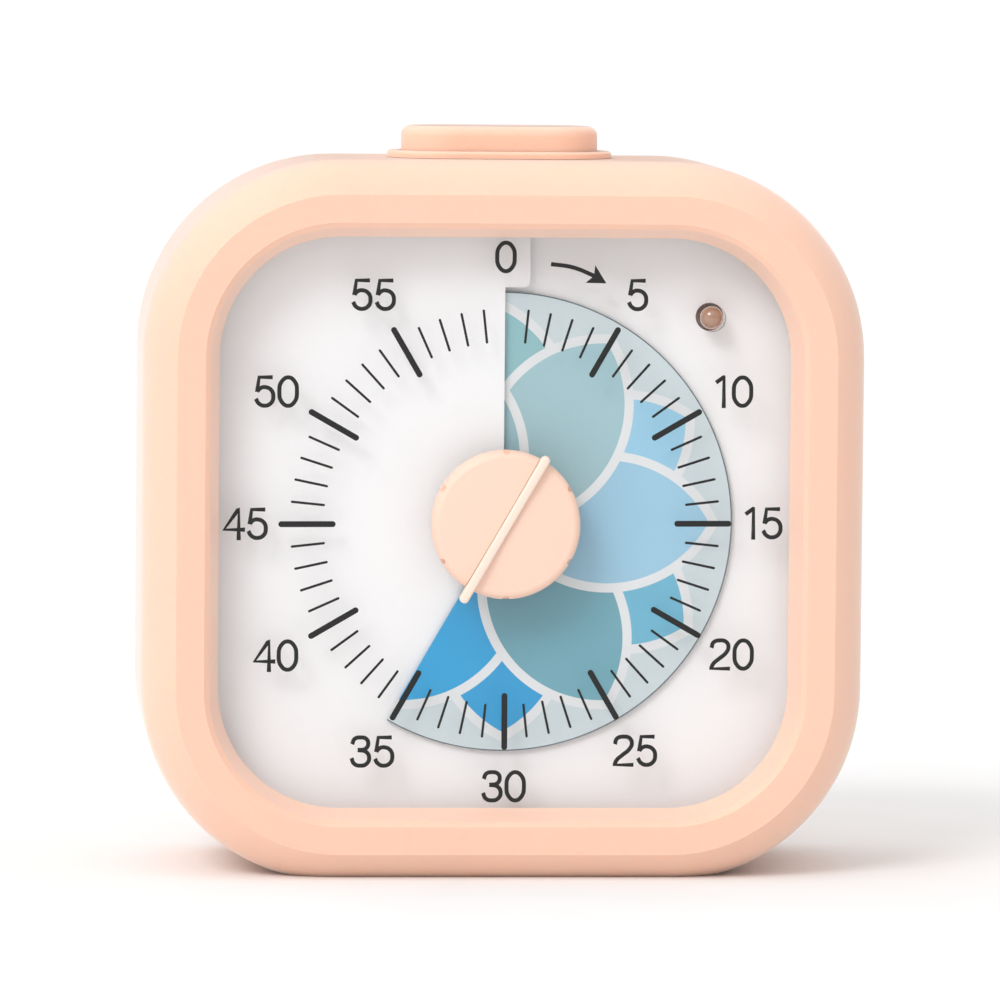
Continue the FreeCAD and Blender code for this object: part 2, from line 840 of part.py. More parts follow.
def dial_chassis():
    """The inner frame: flat plate with the bush's seat and eight posts under the face plate."""
    plate = rounded_plate(chassis_half, chassis_front, chassis_back)
    posts = []
    for x, z in plate_posts():
        angle = math.degrees(math.atan2(x, z)) % 360
        top = plate_y(angle) + plate_thick / 2 + seam_gap
        posts.append(rod(x, z, post_radius, top, chassis_front + 0.5))
    cuts = [
        rod(0, 0, bush_radius + seam_gap / 2, chassis_front - 1, chassis_back + 1),
        rod(0, 0, bush_flange_radius + seam_gap, chassis_front - 1, chassis_front + bush_flange_thick),
        rod(lamp_x, lamp_z, lamp_flange_radius + button_gap, chassis_front - 1, chassis_back + 1),
    ]
    for x in (-1, 1):
        for z in (-1, 1):
            shank = chassis_screw_shank + running_gap * 2
            cuts.append(
                rod(x * corner_boss, z * corner_boss, shank, chassis_front - 1, chassis_back + 1)
            )
    for x, z in movement_posts():
        cuts.append(rod(x, z, pilot_radius, chassis_front - 1, chassis_back + 1))
    cuts.append(rod(lamp_screw_x, lamp_z, pilot_radius, chassis_front - 1, chassis_back + 1))
    return join([plate] + posts).cut(cuts)


def plate_posts():
    """Places of the posts under the face plate: two beside the step and two on each other side."""
    offset = post_offset
    far = corner_centre - 0.5
    sides = [(offset, far), (offset, -far), (far, -offset), (-far, -offset)]
    return [(4.5, offset), (-3.0, offset)] + sides + [(-offset, -far), (-offset, far)]


def shaft_bush():
    """The flanged brass bearing of the shaft."""
    bore = shaft_radius + running_gap
    return join(
        [
            tube(0, 0, bush_flange_radius, bore, chassis_front, chassis_front + bush_flange_thick),
            tube(0, 0, bush_radius, bore, chassis_front, chassis_front + bush_length),
        ]
    )


def shaft_clip():
    """The open clip in front of the centre wheel's collar, on the shaft."""
    y_from = centre_gear_y + centre_gear_thick + seam_gap
    ring = tube(0, 0, shaft_radius + 1.3, shaft_radius + seam_gap / 2, y_from, y_from + 0.4)
    mouth = block(-0.9, 0.9, y_from - 1, y_from + 1, 0, shaft_radius * 2)
    return ring.cut(mouth)


def clutch_washer():
    """The spring washer between the bush and the centre wheel."""
    y_to = centre_gear_y - seam_gap
    y_from = chassis_front + bush_length + seam_gap
    return tube(0, 0, shaft_radius + 1.9, shaft_radius + seam_gap, y_from, y_to)


def gear(teeth, x, z, y_from, thickness, phase, bore):
    """A spur gear with involute teeth. phase is the direction of one tooth, from +X towards +Z."""
    pitch = gear_module * teeth / 2
    base = pitch * math.cos(math.radians(gear_pressure_angle))
    tip = pitch + addendum * gear_module
    root = pitch - dedendum * gear_module
    pressure = math.radians(gear_pressure_angle)
    half = math.pi / (2 * teeth) - gear_backlash / (4 * pitch) + math.tan(pressure) - pressure

    def flank(radius):
        """Half the tooth's angle at a radius."""
        if radius <= base:
            return half
        roll = math.acos(base / radius)
        return half - (math.tan(roll) - roll)

    start = max(root, base)
    radii = [root] + [start + (tip - start) * part / 3 for part in range(4)]
    if root > base:
        radii = radii[1:]
    points = []
    for tooth in range(teeth):
        middle = math.radians(phase) + 2 * math.pi * tooth / teeth
        for radius in radii:
            points.append((radius, middle - flank(radius)))
        for radius in reversed(radii):
            points.append((radius, middle + flank(radius)))
    corners = [Vector(x + r * math.cos(a), y_from, z + r * math.sin(a)) for r, a in points]
    wire = Part.makePolygon(corners + corners[:1])
    body = Part.Face(wire).extrude(Vector(0, thickness, 0))
    return body.cut(rod(x, z, bore, y_from - 1, y_from + thickness + 1))


def centre_wheel():
    """The gear on the knob's shaft."""
    return gear(
        centre_teeth, 0, 0, centre_gear_y, centre_gear_thick, wheel_direction,
        shaft_radius + seam_gap / 2,
    )


def intermediate_wheel():
    """The large wheel and the small pinion that turn together between the shaft and the motor."""
    phase = wheel_direction + 180 + 180 / pinion_teeth
    bore = arbor_radius + running_gap
    pinion_y = centre_gear_y - pinion_longer
    pinion = gear(pinion_teeth, wheel_x, wheel_z, pinion_y, wheel_y - pinion_y, phase, bore)
    wheel = gear(wheel_teeth, wheel_x, wheel_z, wheel_y, wheel_thick, rotor_direction, bore)
    return join([pinion, wheel])


def intermediate_arbor():
    """The steel pin of the intermediate wheel."""
    y_from = movement_front_y + movement_wall + seam_gap
    return rod(wheel_x, wheel_z, arbor_radius, y_from, movement_back_y - movement_wall - seam_gap)


def rotor_pinion():
    """The motor's pinion, with a neck behind it that carries the magnet."""
    phase = rotor_direction + 180 + 180 / small_pinion_teeth
    bore = arbor_radius + running_gap
    neck_y = rotor_y + rotor_pinion_long
    pinion = gear(small_pinion_teeth, rotor_x, rotor_z, rotor_y, rotor_pinion_long, phase, bore)
    neck = tube(rotor_x, rotor_z, rotor_neck_radius, bore, neck_y, neck_y + rotor_neck_long)
    return join([pinion, neck])


def rotor_magnet():
    """The ring magnet on the rotor's neck."""
    y_from = rotor_y + rotor_pinion_long + (rotor_neck_long - magnet_long) / 2
    bore = rotor_neck_radius + seam_gap / 2
    return tube(rotor_x, rotor_z, magnet_radius, bore, y_from, y_from + magnet_long)


def rotor_arbor():
    """The steel pin of the rotor."""
    y_from = movement_front_y + movement_wall + seam_gap
    return rod(rotor_x, rotor_z, arbor_radius, y_from, movement_back_y - movement_wall - seam_gap)


def movement_posts():
    """Places of the movement's screws, one in each corner of its case."""
    return [
        (x, z)
        for x in (movement_left + movement_post_inset, movement_right - movement_post_inset)
        for z in (movement_low + movement_post_inset, movement_high - movement_post_inset)
    ]


def movement_tray(y_from, y_to, floor_from, floor_to):
    """Half of the movement's case: walls, a floor and four corner columns with screw holes."""
    outer = block(movement_left, movement_right, y_from, y_to, movement_low, movement_high)
    upright = [e for e in outer.Edges if abs(e.tangentAt(e.FirstParameter).y) > 0.9]
    outer = outer.makeFillet(movement_corner, upright)
    wall = movement_wall
    room = block(
        movement_left + wall, movement_right - wall, y_from - 1, y_to + 1,
        movement_low + wall, movement_high - wall,
    )
    floor = outer.common(block(-wide, wide, floor_from, floor_to, -wide, wide))
    columns = [rod(x, z, movement_post, y_from, y_to) for x, z in movement_posts()]
    tray = join([outer.cut(room), floor] + columns)
    hole = small_screw_shank + running_gap
    return tray.cut([rod(x, z, hole, y_from - 1, y_to + 1) for x, z in movement_posts()])


def movement_front():
    """The movement's front half, with the hole for the bush."""
    floor_to = movement_front_y + movement_wall
    tray = movement_tray(movement_front_y, movement_split_y, movement_front_y, floor_to)
    return tray.cut(rod(0, 0, bush_radius + seam_gap, movement_front_y - 1, floor_to + 1))


def movement_back():
    """The movement's back half, with the blind bearing of the shaft's thin end."""
    floor_from = movement_back_y - movement_wall
    tray = movement_tray(movement_split_y, movement_back_y, floor_from, movement_back_y)
    bearing = arbor_radius * 2 + running_gap
    stator_back = stator_y + stator_thick + seam_gap
    seat_right = (coil_right + stator_window_gap + rotor_x - stator_bore) / 2
    seats = [
        rod(x, rotor_z, stator_seat_radius, stator_back, floor_from + 0.5)
        for x in (coil_left - stator_over / 2, seat_right)
    ]
    cuts = [rod(0, 0, bearing, floor_from - 1, movement_back_y - 0.2)]
    for x, z in movement_posts():
        cuts.append(rod(x, z, small_screw_head + running_gap, floor_from, movement_back_y + 1))
    return join([tray] + seats).cut(cuts)


def stator_plate():
    """The motor's iron plate: a hole round the rotor and a window round the coil."""
    y_to = stator_y + stator_thick
    outer = block(
        coil_left - stator_over, rotor_x + stator_past_rotor, stator_y, y_to,
        rotor_z - stator_half, rotor_z + stator_half,
    )
    window = block(
        coil_left - stator_window_gap, coil_right + stator_window_gap, stator_y - 1, y_to + 1,
        rotor_z - stator_window_half, rotor_z + stator_window_half,
    )
    return outer.cut([rod(rotor_x, rotor_z, stator_bore, stator_y - 1, y_to + 1), window])


def coil_core():
    """The iron bar through the coil, which lies on the stator plate at both ends."""
    return block(
        coil_left - core_over, coil_right + core_over, stator_y - core_thick, stator_y,
        rotor_z - core_half, rotor_z + core_half,
    )


def coil_part(outer, inner, x_from, x_to):
    """A round tube along X about the coil's axis."""
    start = Vector(x_from, coil_y, rotor_z)
    length = x_to - x_from
    body = Part.makeCylinder(outer, length, start, Vector(1, 0, 0))
    return body.cut(Part.makeCylinder(inner, length, start, Vector(1, 0, 0)))


def coil_bobbin():
    """The plastic bobbin: a tube with a flange at each end."""
    return join(
        [
            coil_part(coil_tube_radius, coil_bore, coil_left, coil_right),
            coil_part(coil_flange, coil_bore, coil_left, coil_left + coil_flange_thick),
            coil_part(coil_flange, coil_bore, coil_right - coil_flange_thick, coil_right),
        ]
    )


def coil_winding():
    """The copper winding on the bobbin, sealed in the movement."""
    gap = seam_gap / 2
    inset = coil_flange_thick + gap
    return coil_part(winding_radius, coil_tube_radius + gap, coil_left + inset, coil_right - inset)


def circuit_board():
    """The main board, on four posts of the rear housing."""
    front = board_back_y - board_thick
    board = block(-board_half_x, board_half_x, front, board_back_y, board_low, board_high)
    hole = small_screw_shank + running_gap
    return board.cut([rod(x, z, hole, front - 1, board_back_y + 1) for x, z in board_posts])


def timer_chip():
    """The controller: a flat body with two rows of bent legs."""
    face = board_back_y - board_thick
    half = chip_size / 2
    tip = half + chip_leg_reach
    body = block(
        -half, half, face - chip_thick - 0.2, face - 0.2, board_middle - half, board_middle + half
    )
    legs = []
    for side in (-1, 1):
        for step in range(6):
            z = board_middle + (step - 2.5) * chip_leg_pitch
            low_z = z - chip_leg_width / 2
            high_z = z + chip_leg_width / 2
            low, high = sorted((side * (half - 0.2), side * tip))
            legs.append(block(low, high, face - 0.6, face - 0.4, low_z, high_z))
            low, high = sorted((side * (tip - 0.3), side * tip))
            legs.append(block(low, high, face - 0.6, face, low_z, high_z))
    return join([body] + legs)


def quartz_can():
    """The crystal in its long round can, lying on the board."""
    start = Vector(can_x, board_back_y - board_thick - can_radius, board_middle)
    return Part.makeCylinder(can_radius, can_long, start, Vector(1, 0, 0))


def buzzer():
    """The round sounder behind the sound holes."""
    y_to = board_back_y + buzzer_thick
    body = rod(buzzer_x, buzzer_z, buzzer_radius, board_back_y, y_to)
    return body.cut(rod(buzzer_x, buzzer_z, 2.0, y_to - 1.5, y_to + 1))


def volume_switch_body():
    """The slide switch's fixed body, with the channel that its slider runs in."""
    middle = volume_x + slider_travel / 2
    y_to = rear_inner_y - button_gap
    body = block(
        middle - switch_body_half, middle + switch_body_half, board_back_y, y_to,
        volume_z - switch_body_high / 2, volume_z + switch_body_high / 2,
    )
    reach = slider_travel / 2 + stem_half + button_gap
    channel = block(
        middle - reach, middle + reach, y_to - 2.0, y_to + 1,
        volume_z - slot_half_high, volume_z + slot_half_high,
    )
    return body.cut(channel)


def volume_slider():
    """The volume slider: a stem through the slot and a ribbed cap in the finger trough."""
    trough_y = rear_panel_y - slot_depth
    top = rear_panel_y - slider_sunk
    stem_high = slot_half_high - button_gap
    stem = block(
        volume_x - stem_half, volume_x + stem_half, rear_inner_y - 1.8, trough_y + 0.3,
        volume_z - stem_high, volume_z + stem_high,
    )
    half_long = slider_length / 2
    half_high = slider_height / 2
    cap = block(
        volume_x - half_long, volume_x + half_long, trough_y + 0.1, top,
        volume_z - half_high, volume_z + half_high,
    )
    grooves = []
    for step in range(-2, 3):
        x = volume_x + step * 0.9
        groove = block(x - 0.15, x + 0.15, top - 0.25, top + 1, volume_z - 5, volume_z + 5)
        grooves.append(groove)
    return join([stem, cap.cut(grooves)])


def indicator_lamp():
    """The clear lamp: flange, round body and domed end just level with the window."""
    flange_front = lamp_flange_y
    front = flange_front - lamp_length
    body = rod(lamp_x, lamp_z, lamp_radius, front + lamp_radius, flange_front)
    flange = rod(lamp_x, lamp_z, lamp_flange_radius, flange_front, flange_front + lamp_flange_thick)
    dome = Part.makeSphere(lamp_radius, Vector(lamp_x, front + lamp_radius, lamp_z))
    dome = dome.common(rod(lamp_x, lamp_z, lamp_radius * 2, front - 1, front + lamp_radius))
    return join([body, flange, dome])


def lamp_leads():
    """The lamp's two square leads, from its flange through the lamp board."""
    y_from = lamp_flange_y + lamp_flange_thick
    y_to = chassis_back + lamp_board_thick + 0.8
    half = lead_side / 2
    leads = []
    for side in (-1, 1):
        x = lamp_x + side * lead_pitch
        leads.append(block(x - half, x + half, y_from, y_to, lamp_z - half, lamp_z + half))
    return Part.makeCompound(leads)


def lamp_board():
    """The small board that carries the lamp, on the back of the inner frame."""
    y_to = chassis_back + lamp_board_thick
    board = block(
        lamp_x - lamp_board_left, lamp_screw_x + 2.6, chassis_back, y_to, lamp_z - 3.2, lamp_z + 3.2
    )
    hole = lead_side / 2 + running_gap
    holes = []
    for side in (-1, 1):
        x = lamp_x + side * lead_pitch
        holes.append(
            block(x - hole, x + hole, chassis_back - 1, y_to + 1, lamp_z - hole, lamp_z + hole)
        )
    screw_hole = small_screw_shank + running_gap
    holes.append(rod(lamp_screw_x, lamp_z, screw_hole, chassis_back - 1, y_to + 1))
    return board.cut(holes)


def battery_cell(z, direction):
    """A round cell along X, with its nub towards direction."""
    total = cell_length + cell_nub_length
    plate = contact_thick + seam_gap
    nub_end = bay_half_x - plate
    body_start = nub_end - total
    start = Vector(body_start, cell_y, z)
    body = Part.makeCylinder(cell_radius, cell_length, start, Vector(1, 0, 0))
    round_about = math.tau * cell_radius
    rims = [e for e in body.Edges if len(e.Vertexes) == 1 and abs(e.Length - round_about) < 0.1]
    body = body.makeFillet(0.6, rims)
    nub = Part.makeCylinder(
        cell_nub_radius, cell_nub_length, Vector(nub_end - cell_nub_length, cell_y, z), Vector(1, 0, 0)
    )
    cell = join([body, nub])
    if direction < 0:
        cell.rotate(Vector(0, cell_y, z), Vector(0, 0, 1), 180)
    return cell


def contact_plates():
    """The four sprung metal contacts at the ends of the battery bay."""
    plates = []
    for z in (cell_lower_z, cell_upper_z):
        for side in (-1, 1):
            low, high = sorted((side * bay_half_x, side * (bay_half_x - contact_thick)))
            plates.append(
                block(
                    low, high, cell_y - contact_half, cell_y + contact_half,
                    z - contact_half, z + contact_half,
                )
            )
    return Part.makeCompound(plates)


def contact_springs():
    """The tapered springs behind the cells' flat ends, as plain cones."""
    long = 2 * bay_half_x - 2 * contact_thick - cell_length - cell_nub_length - 3 * seam_gap
    springs = []
    for z, side in ((cell_lower_z, -1), (cell_upper_z, 1)):
        start = Vector(side * (bay_half_x - contact_thick - seam_gap), cell_y, z)
        springs.append(Part.makeCone(3.6, 2.4, long, start, Vector(-side, 0, 0)))
    return Part.makeCompound(springs)


def battery_door():
    """The door: a flat plate with a knuckle and two pins along its lower edge and a thumb notch."""
    plate = block(
        -door_half_x, door_half_x, door_back_y + seam_gap, rear_panel_y,
        door_low + door_pin_radius * 0.7, door_high,
    )
    upper = [
        e for e in plate.Edges
        if abs(e.tangentAt(e.FirstParameter).y) > 0.9 and e.CenterOfMass.z > door_low + 5
    ]
    plate = plate.makeFillet(door_corner, upper)
    knuckle = Part.makeCylinder(
        door_pin_radius, 2 * door_half_x, Vector(-door_half_x, door_pin_y, door_low), Vector(1, 0, 0)
    )
    pins = Part.makeCylinder(
        door_pin_radius, 2 * pin_reach_x, Vector(-pin_reach_x, door_pin_y, door_low), Vector(1, 0, 0)
    )
    neck = block(
        -door_half_x, door_half_x, door_pin_y - 0.5, door_pin_y + 0.6, door_low,
        door_low + door_pin_radius,
    )
    grips = []
    for step in range(grip_count):
        z = door_high - 4.0 - step * grip_step
        groove_y = rear_panel_y - 0.35
        grips.append(block(-grip_half_x, grip_half_x, groove_y, back_y, z - 0.3, z + 0.3))
    return join([plate, knuckle, neck, pins]).cut(grips)


def button_bezel():
    """The thin plate on the sleeve's top, with the sleeve through both skins that guides the button."""
    top = sleeve_top + bezel_high
    inner_length = cap_length + 2 * button_gap
    inner_depth = cap_depth + 2 * button_gap
    plate = stadium(bezel_length, bezel_depth, sleeve_top + seam_gap, top)
    outer_edges = [e for e in plate.Edges if abs(e.CenterOfMass.z - top) < 0.01]
    plate = plate.makeFillet(0.4, outer_edges)
    body = stadium(bezel_body_length, bezel_body_depth, bezel_foot, sleeve_top + 0.3)
    lug_top = shell_under - seam_gap
    lugs = []
    for side in (-1, 1):
        reach = side * bezel_body_length / 2
        low, high = sorted((reach - side, reach + side * bezel_lug))
        lugs.append(block(low, high, -bezel_lug_half, bezel_lug_half, bezel_foot, lug_top))
    room = stadium(inner_length, inner_depth, bezel_foot - 1, top + 1)
    return join([plate, body] + lugs).cut(room)


def light_button():
    """The top button: a hollow cap with a soft top edge and a rod down to the switch."""
    top = sleeve_top + cap_high
    foot = bezel_foot + button_travel + 0.4
    cap = stadium(cap_length, cap_depth, foot, top)
    top_edges = [e for e in cap.Edges if abs(e.CenterOfMass.z - top) < 0.01]
    cap = cap.makeFillet(cap_round, top_edges)
    room = stadium(cap_length - 2 * cap_wall, cap_depth - 2 * cap_wall, foot - 1, top - cap_wall)
    presser_foot = plunger_top + seam_gap
    presser = Part.makeCylinder(
        presser_radius, top - cap_wall / 2 - presser_foot, Vector(0, 0, presser_foot)
    )
    return join([cap.cut(room), presser])


def switch_board():
    """The small board under the top button, screwed to two posts of the front housing."""
    half = switch_post_x + switch_board_over
    deep = switch_board_depth / 2
    board = block(-half, half, -deep, deep, switch_board_low, switch_post_foot - seam_gap)
    holes = []
    for side in (-1, 1):
        corner = Vector(side * switch_post_x, 0, switch_board_low - 1)
        holes.append(Part.makeCylinder(small_screw_shank + running_gap, switch_board_thick + 2, corner))
    return board.cut(holes)


def button_switch():
    """The square push switch on its board, hollow for its plunger."""
    foot = switch_post_foot - seam_gap
    body = block(
        -switch_half, switch_half, -switch_half, switch_half, foot, foot + switch_high
    )
    bore = plunger_radius + button_gap
    return body.cut(Part.makeCylinder(bore, switch_high, Vector(0, 0, foot + switch_floor)))


def switch_plunger():
    """The push switch's round plunger, under the button's rod."""
    foot = switch_post_foot + switch_floor + button_travel + 0.2
    return Part.makeCylinder(plunger_radius, plunger_top - foot, Vector(0, 0, foot))


def screw(x, y, z, direction, head_radius, head_thick, shank_radius, length):
    """A pan screw. The point is under the head, and direction is the way that the shank goes."""
    head = Part.makeCylinder(head_radius, head_thick, Vector(x, y, z), direction * -1)
    shank = Part.makeCylinder(shank_radius, length, Vector(x, y, z), direction)
    rims = [
        e for e in head.Edges
        if abs(e.Length - math.tau * head_radius) < 0.01
        and (e.CenterOfMass - Vector(x, y, z)).Length > head_thick * 0.5
    ]
    head = head.makeFillet(head_thick * 0.35, rims)
    body = head.fuse(shank).removeSplitter()
    top = Vector(x, y, z) - direction * head_thick
    long = head_radius * 1.3
    across = [Vector(1, 0, 0), Vector(0, 0, 1) if abs(direction.y) > 0.5 else Vector(0, 1, 0)]
    for along in across:
        reach = [slot_width, slot_width, slot_width]
        axis = [abs(along.x), abs(along.y), abs(along.z)].index(1.0)
        deep = [abs(direction.x), abs(direction.y), abs(direction.z)].index(1.0)
        reach[axis] = long
        reach[deep] = 2 * slot_deep
        corner = top - Vector(*reach) * 0.5
        body = body.cut(Part.makeBox(*reach, corner))
    return body


def housing_screws():
    """Four long screws from the back, under the sleeve's lip."""
    y = case_screw_seat
    return Part.makeCompound(
        [
            screw(
                x * case_screw_x, y, z * case_screw_z, Vector(0, -1, 0), case_screw_head,
                case_screw_head_thick, case_screw_shank, y - split_y + case_screw_length - 1.5,
            )
            for x in (-1, 1)
            for z in (-1, 1)
        ]
    )


def chassis_screws():
    """Four screws that hold the inner frame on the front housing's bosses."""
    return Part.makeCompound(
        [
            screw(
                x * corner_boss, chassis_back, z * corner_boss, Vector(0, -1, 0), chassis_screw_head,
                chassis_screw_head_thick, chassis_screw_shank, chassis_screw_length,
            )
            for x in (-1, 1)
            for z in (-1, 1)
        ]
    )


def movement_screws():
    """Four screws through the movement's corners into the inner frame."""
    return Part.makeCompound(
        [
            screw(
                x, movement_back_y - movement_wall, z, Vector(0, -1, 0), small_screw_head,
                small_screw_head_thick, pilot_radius - running_gap,
                movement_depth - movement_wall + chassis_thick - 0.2,
            )
            for x, z in movement_posts()
        ]
    )


def board_screws():
    """Four screws of the main board and one of the lamp's board."""
    shank = pilot_radius - running_gap
    screws = [
        screw(
            x, board_back_y - board_thick, z, Vector(0, 1, 0), small_screw_head,
            small_screw_head_thick, shank, small_screw_length,
        )
        for x, z in board_posts
    ]
    y = chassis_back + lamp_board_thick
    head = small_screw_head
    screws.append(
        screw(lamp_screw_x, y, lamp_z, Vector(0, -1, 0), head, small_screw_head_thick, shank, 2.2)
    )
    return Part.makeCompound(screws)


def switch_board_screws():
    """Two screws that hold the top button's board from below."""
    return Part.makeCompound(
        [
            screw(
                x * switch_post_x, 0, switch_board_low, Vector(0, 0, 1), small_screw_head,
                small_screw_head_thick, pilot_radius - running_gap, small_screw_length,
            )
            for x in (-1, 1)
        ]
    )


def write_parts():
    """Every piece, raised so that the base is at z = 0, one file each."""
    pieces = [
        silicone_sleeve, front_housing, rear_housing, dial_lens, face_plate, colour_disc, disc_hub,
        setting_knob, knob_pointer, knob_shaft, dial_chassis, shaft_bush, shaft_clip, clutch_washer,
        centre_wheel, intermediate_wheel, intermediate_arbor, rotor_pinion, rotor_magnet,
        rotor_arbor, movement_front, movement_back, stator_plate, coil_core, coil_bobbin,
        coil_winding, circuit_board, timer_chip, quartz_can, buzzer, volume_switch_body,
        volume_slider, indicator_lamp, lamp_leads, lamp_board, contact_plates, contact_springs,
        battery_door, button_bezel, light_button, switch_board, button_switch, switch_plunger,
        housing_screws, chassis_screws, movement_screws, board_screws, switch_board_screws,
    ]
    shapes = {piece.__name__: piece() for piece in pieces}
    shapes["battery_cell_lower"] = battery_cell(cell_lower_z, 1)
    shapes["battery_cell_upper"] = battery_cell(cell_upper_z, -1)
    os.makedirs("parts", exist_ok=True)
    for name, shape in shapes.items():
        move(shape, z=centre_z).exportStep("parts/" + name + ".step")
        print(name, len(shape.Solids), "solids", round(shape.Volume, 1), "mm3", shape.isValid())


write_parts()
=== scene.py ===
"""Finishes and details of a desk countdown timer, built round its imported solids.

Lengths are in metres. The face looks to -Y and the base stands at z = 0. Places on the dial are
measured from its axis. Dial angles run clockwise from 12 o'clock, as seen from the front.
"""

import math

import bmesh
import bpy
from bpy.props import FloatProperty, FloatVectorProperty, IntProperty, PointerProperty
from mathutils import Matrix, Vector


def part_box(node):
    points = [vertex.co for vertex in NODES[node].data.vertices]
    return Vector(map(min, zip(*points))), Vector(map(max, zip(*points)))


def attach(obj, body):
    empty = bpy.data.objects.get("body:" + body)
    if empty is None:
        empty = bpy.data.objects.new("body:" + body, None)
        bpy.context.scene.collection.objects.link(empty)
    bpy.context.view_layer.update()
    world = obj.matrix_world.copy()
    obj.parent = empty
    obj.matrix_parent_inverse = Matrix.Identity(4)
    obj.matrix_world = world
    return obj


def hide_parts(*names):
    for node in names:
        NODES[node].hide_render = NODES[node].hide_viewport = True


bl_info = {
    "name": "Countdown Timer Finishes",
    "version": (1, 0, 0),
    "blender": (4, 5, 0),
    "location": "View3D > Sidebar > Timer",
    "description": "Prints, finishes and small details of a desk countdown timer",
    "category": "Object",
}

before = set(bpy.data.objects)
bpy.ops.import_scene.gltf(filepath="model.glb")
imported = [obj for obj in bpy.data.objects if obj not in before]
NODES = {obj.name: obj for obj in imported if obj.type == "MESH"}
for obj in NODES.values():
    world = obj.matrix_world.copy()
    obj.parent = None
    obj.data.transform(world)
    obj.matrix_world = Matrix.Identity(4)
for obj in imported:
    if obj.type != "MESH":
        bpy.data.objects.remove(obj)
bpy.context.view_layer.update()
LENS_LOW, LENS_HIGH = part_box("dial_lens")
LENS_FRONT = LENS_LOW.y
DIAL_Z = (LENS_LOW.z + LENS_HIGH.z) / 2
MM = 0.001
MICRON = 0.000001
DEGREES_A_MINUTE = 6


def shade(red, green, blue):
    """A screen colour, 0 to 255, as the linear colour that a shader takes."""
    linear = []
    for value in (red, green, blue):
        share = value / 255
        if share <= 0.04045:
            linear.append(share / 12.92)
        else:
            linear.append(((share + 0.055) / 1.055) ** 2.4)
    return tuple(linear)


def length(name, description, default):
    """A length that a user may change."""
    return FloatProperty(
        name=name, description=description, default=default, min=0.0, precision=5,
        unit="LENGTH", subtype="DISTANCE",
    )


def turn(name, description, degrees):
    """An angle that a user may change."""
    return FloatProperty(
        name=name, description=description, default=math.radians(degrees), precision=3,
        unit="ROTATION", subtype="ANGLE",
    )


def colour(name, description, default):
    """A colour that a user may change."""
    return FloatVectorProperty(
        name=name, description=description, default=default, size=3, min=0.0, max=1.0,
        subtype="COLOR",
    )


class TimerSizes(bpy.types.PropertyGroup):
    """Sizes of the printed scale and of the modelled details."""

    print_thick: length("Print thickness", "How far the ink stands on the lens", 0.03 * MM)
    five_inner: length("Long mark start", "Inner radius of the five minute marks", 21.05 * MM)
    five_outer: length("Long mark end", "Outer radius of the five minute marks", 28.15 * MM)
    five_wide: length("Long mark width", "Width of the five minute marks", 0.74 * MM)
    one_inner: length("Short mark start", "Inner radius of the minute marks", 22.5 * MM)
    one_outer: length("Short mark end", "Outer radius of the minute marks", 26.75 * MM)
    one_wide: length("Short mark width", "Width of the minute marks", 0.31 * MM)
    marks_shift: length("Marks shift", "How far right and down the ring of marks stands", 0.06 * MM)
    number_radius: length("Number radius", "From the axis to a number's middle", 32.75 * MM)
    side_radius: length("Side number radius", "The same for the numbers 15 and 45", 32.15 * MM)
    top_radius: length("Top number radius", "The same for the number 0", 33.05 * MM)
    narrow_shift: length("Shift of 1", "How far left the numbers 10 and 15 stand", 0.3 * MM)
    scale_turn: turn("Scale turn", "Clockwise turn of the printed scale", -0.25)
    number_high: length("Number height", "Height of the numbers", 4.1 * MM)
    number_stroke: length("Number stroke", "Width of a number's line", 0.54 * MM)
    digit_pitch: length("Digit pitch", "Distance between two digits' middles", 2.9 * MM)
    disc_radius: length("Disc radius", "Edge of the colour disc", 28.6 * MM)
    # Width of the painted shade along the disc's edge, which stands in for the disc's rim and the
    # shadow it casts.
    rim_line: length("Rim line", "Width of the dark line along the disc's edge", 0.16 * MM)
    pointer_tip: length("Pointer tip", "From the axis to the pointer's tip", 11.0 * MM)
    pointer_tail: length("Pointer tail", "From the axis to the pointer's other end", 9.9 * MM)
    pointer_wide: length("Pointer width", "Width of the pointer", 1.16 * MM)
    pointer_angle: turn("Pointer angle", "Dial angle of the pointer's other end at rest", 30.0)
    petal_centre: length("Petal centre", "From the axis to a petal's widest place", 13.0 * MM)
    petal_offset: length("Petal offset", "Centre of a petal's side, across its axis", 6.65 * MM)
    petal_side: length("Petal side", "Radius of a petal's side", 14.3 * MM)
    petal_outline: length("Petal outline", "Width of the pale line round a petal", 1.15 * MM)
    # Radius of the painted shade on the face round the lamp: inside it the wall of the lamp's hole
    # is coloured dark.
    lamp_hole: length("Lamp hole", "Radius of the tinted face round the lamp", 1.74 * MM)
    spring_wire: length("Spring wire", "Radius of the battery springs' wire", 0.3 * MM)
    spring_turns: IntProperty(
        name="Spring turns", description="Turns of a battery spring", default=4,
    )
    camera_lens: FloatProperty(
        name="Camera lens", description="Focal length on a 36 mm sensor", default=287.6,
        unit="CAMERA",
    )


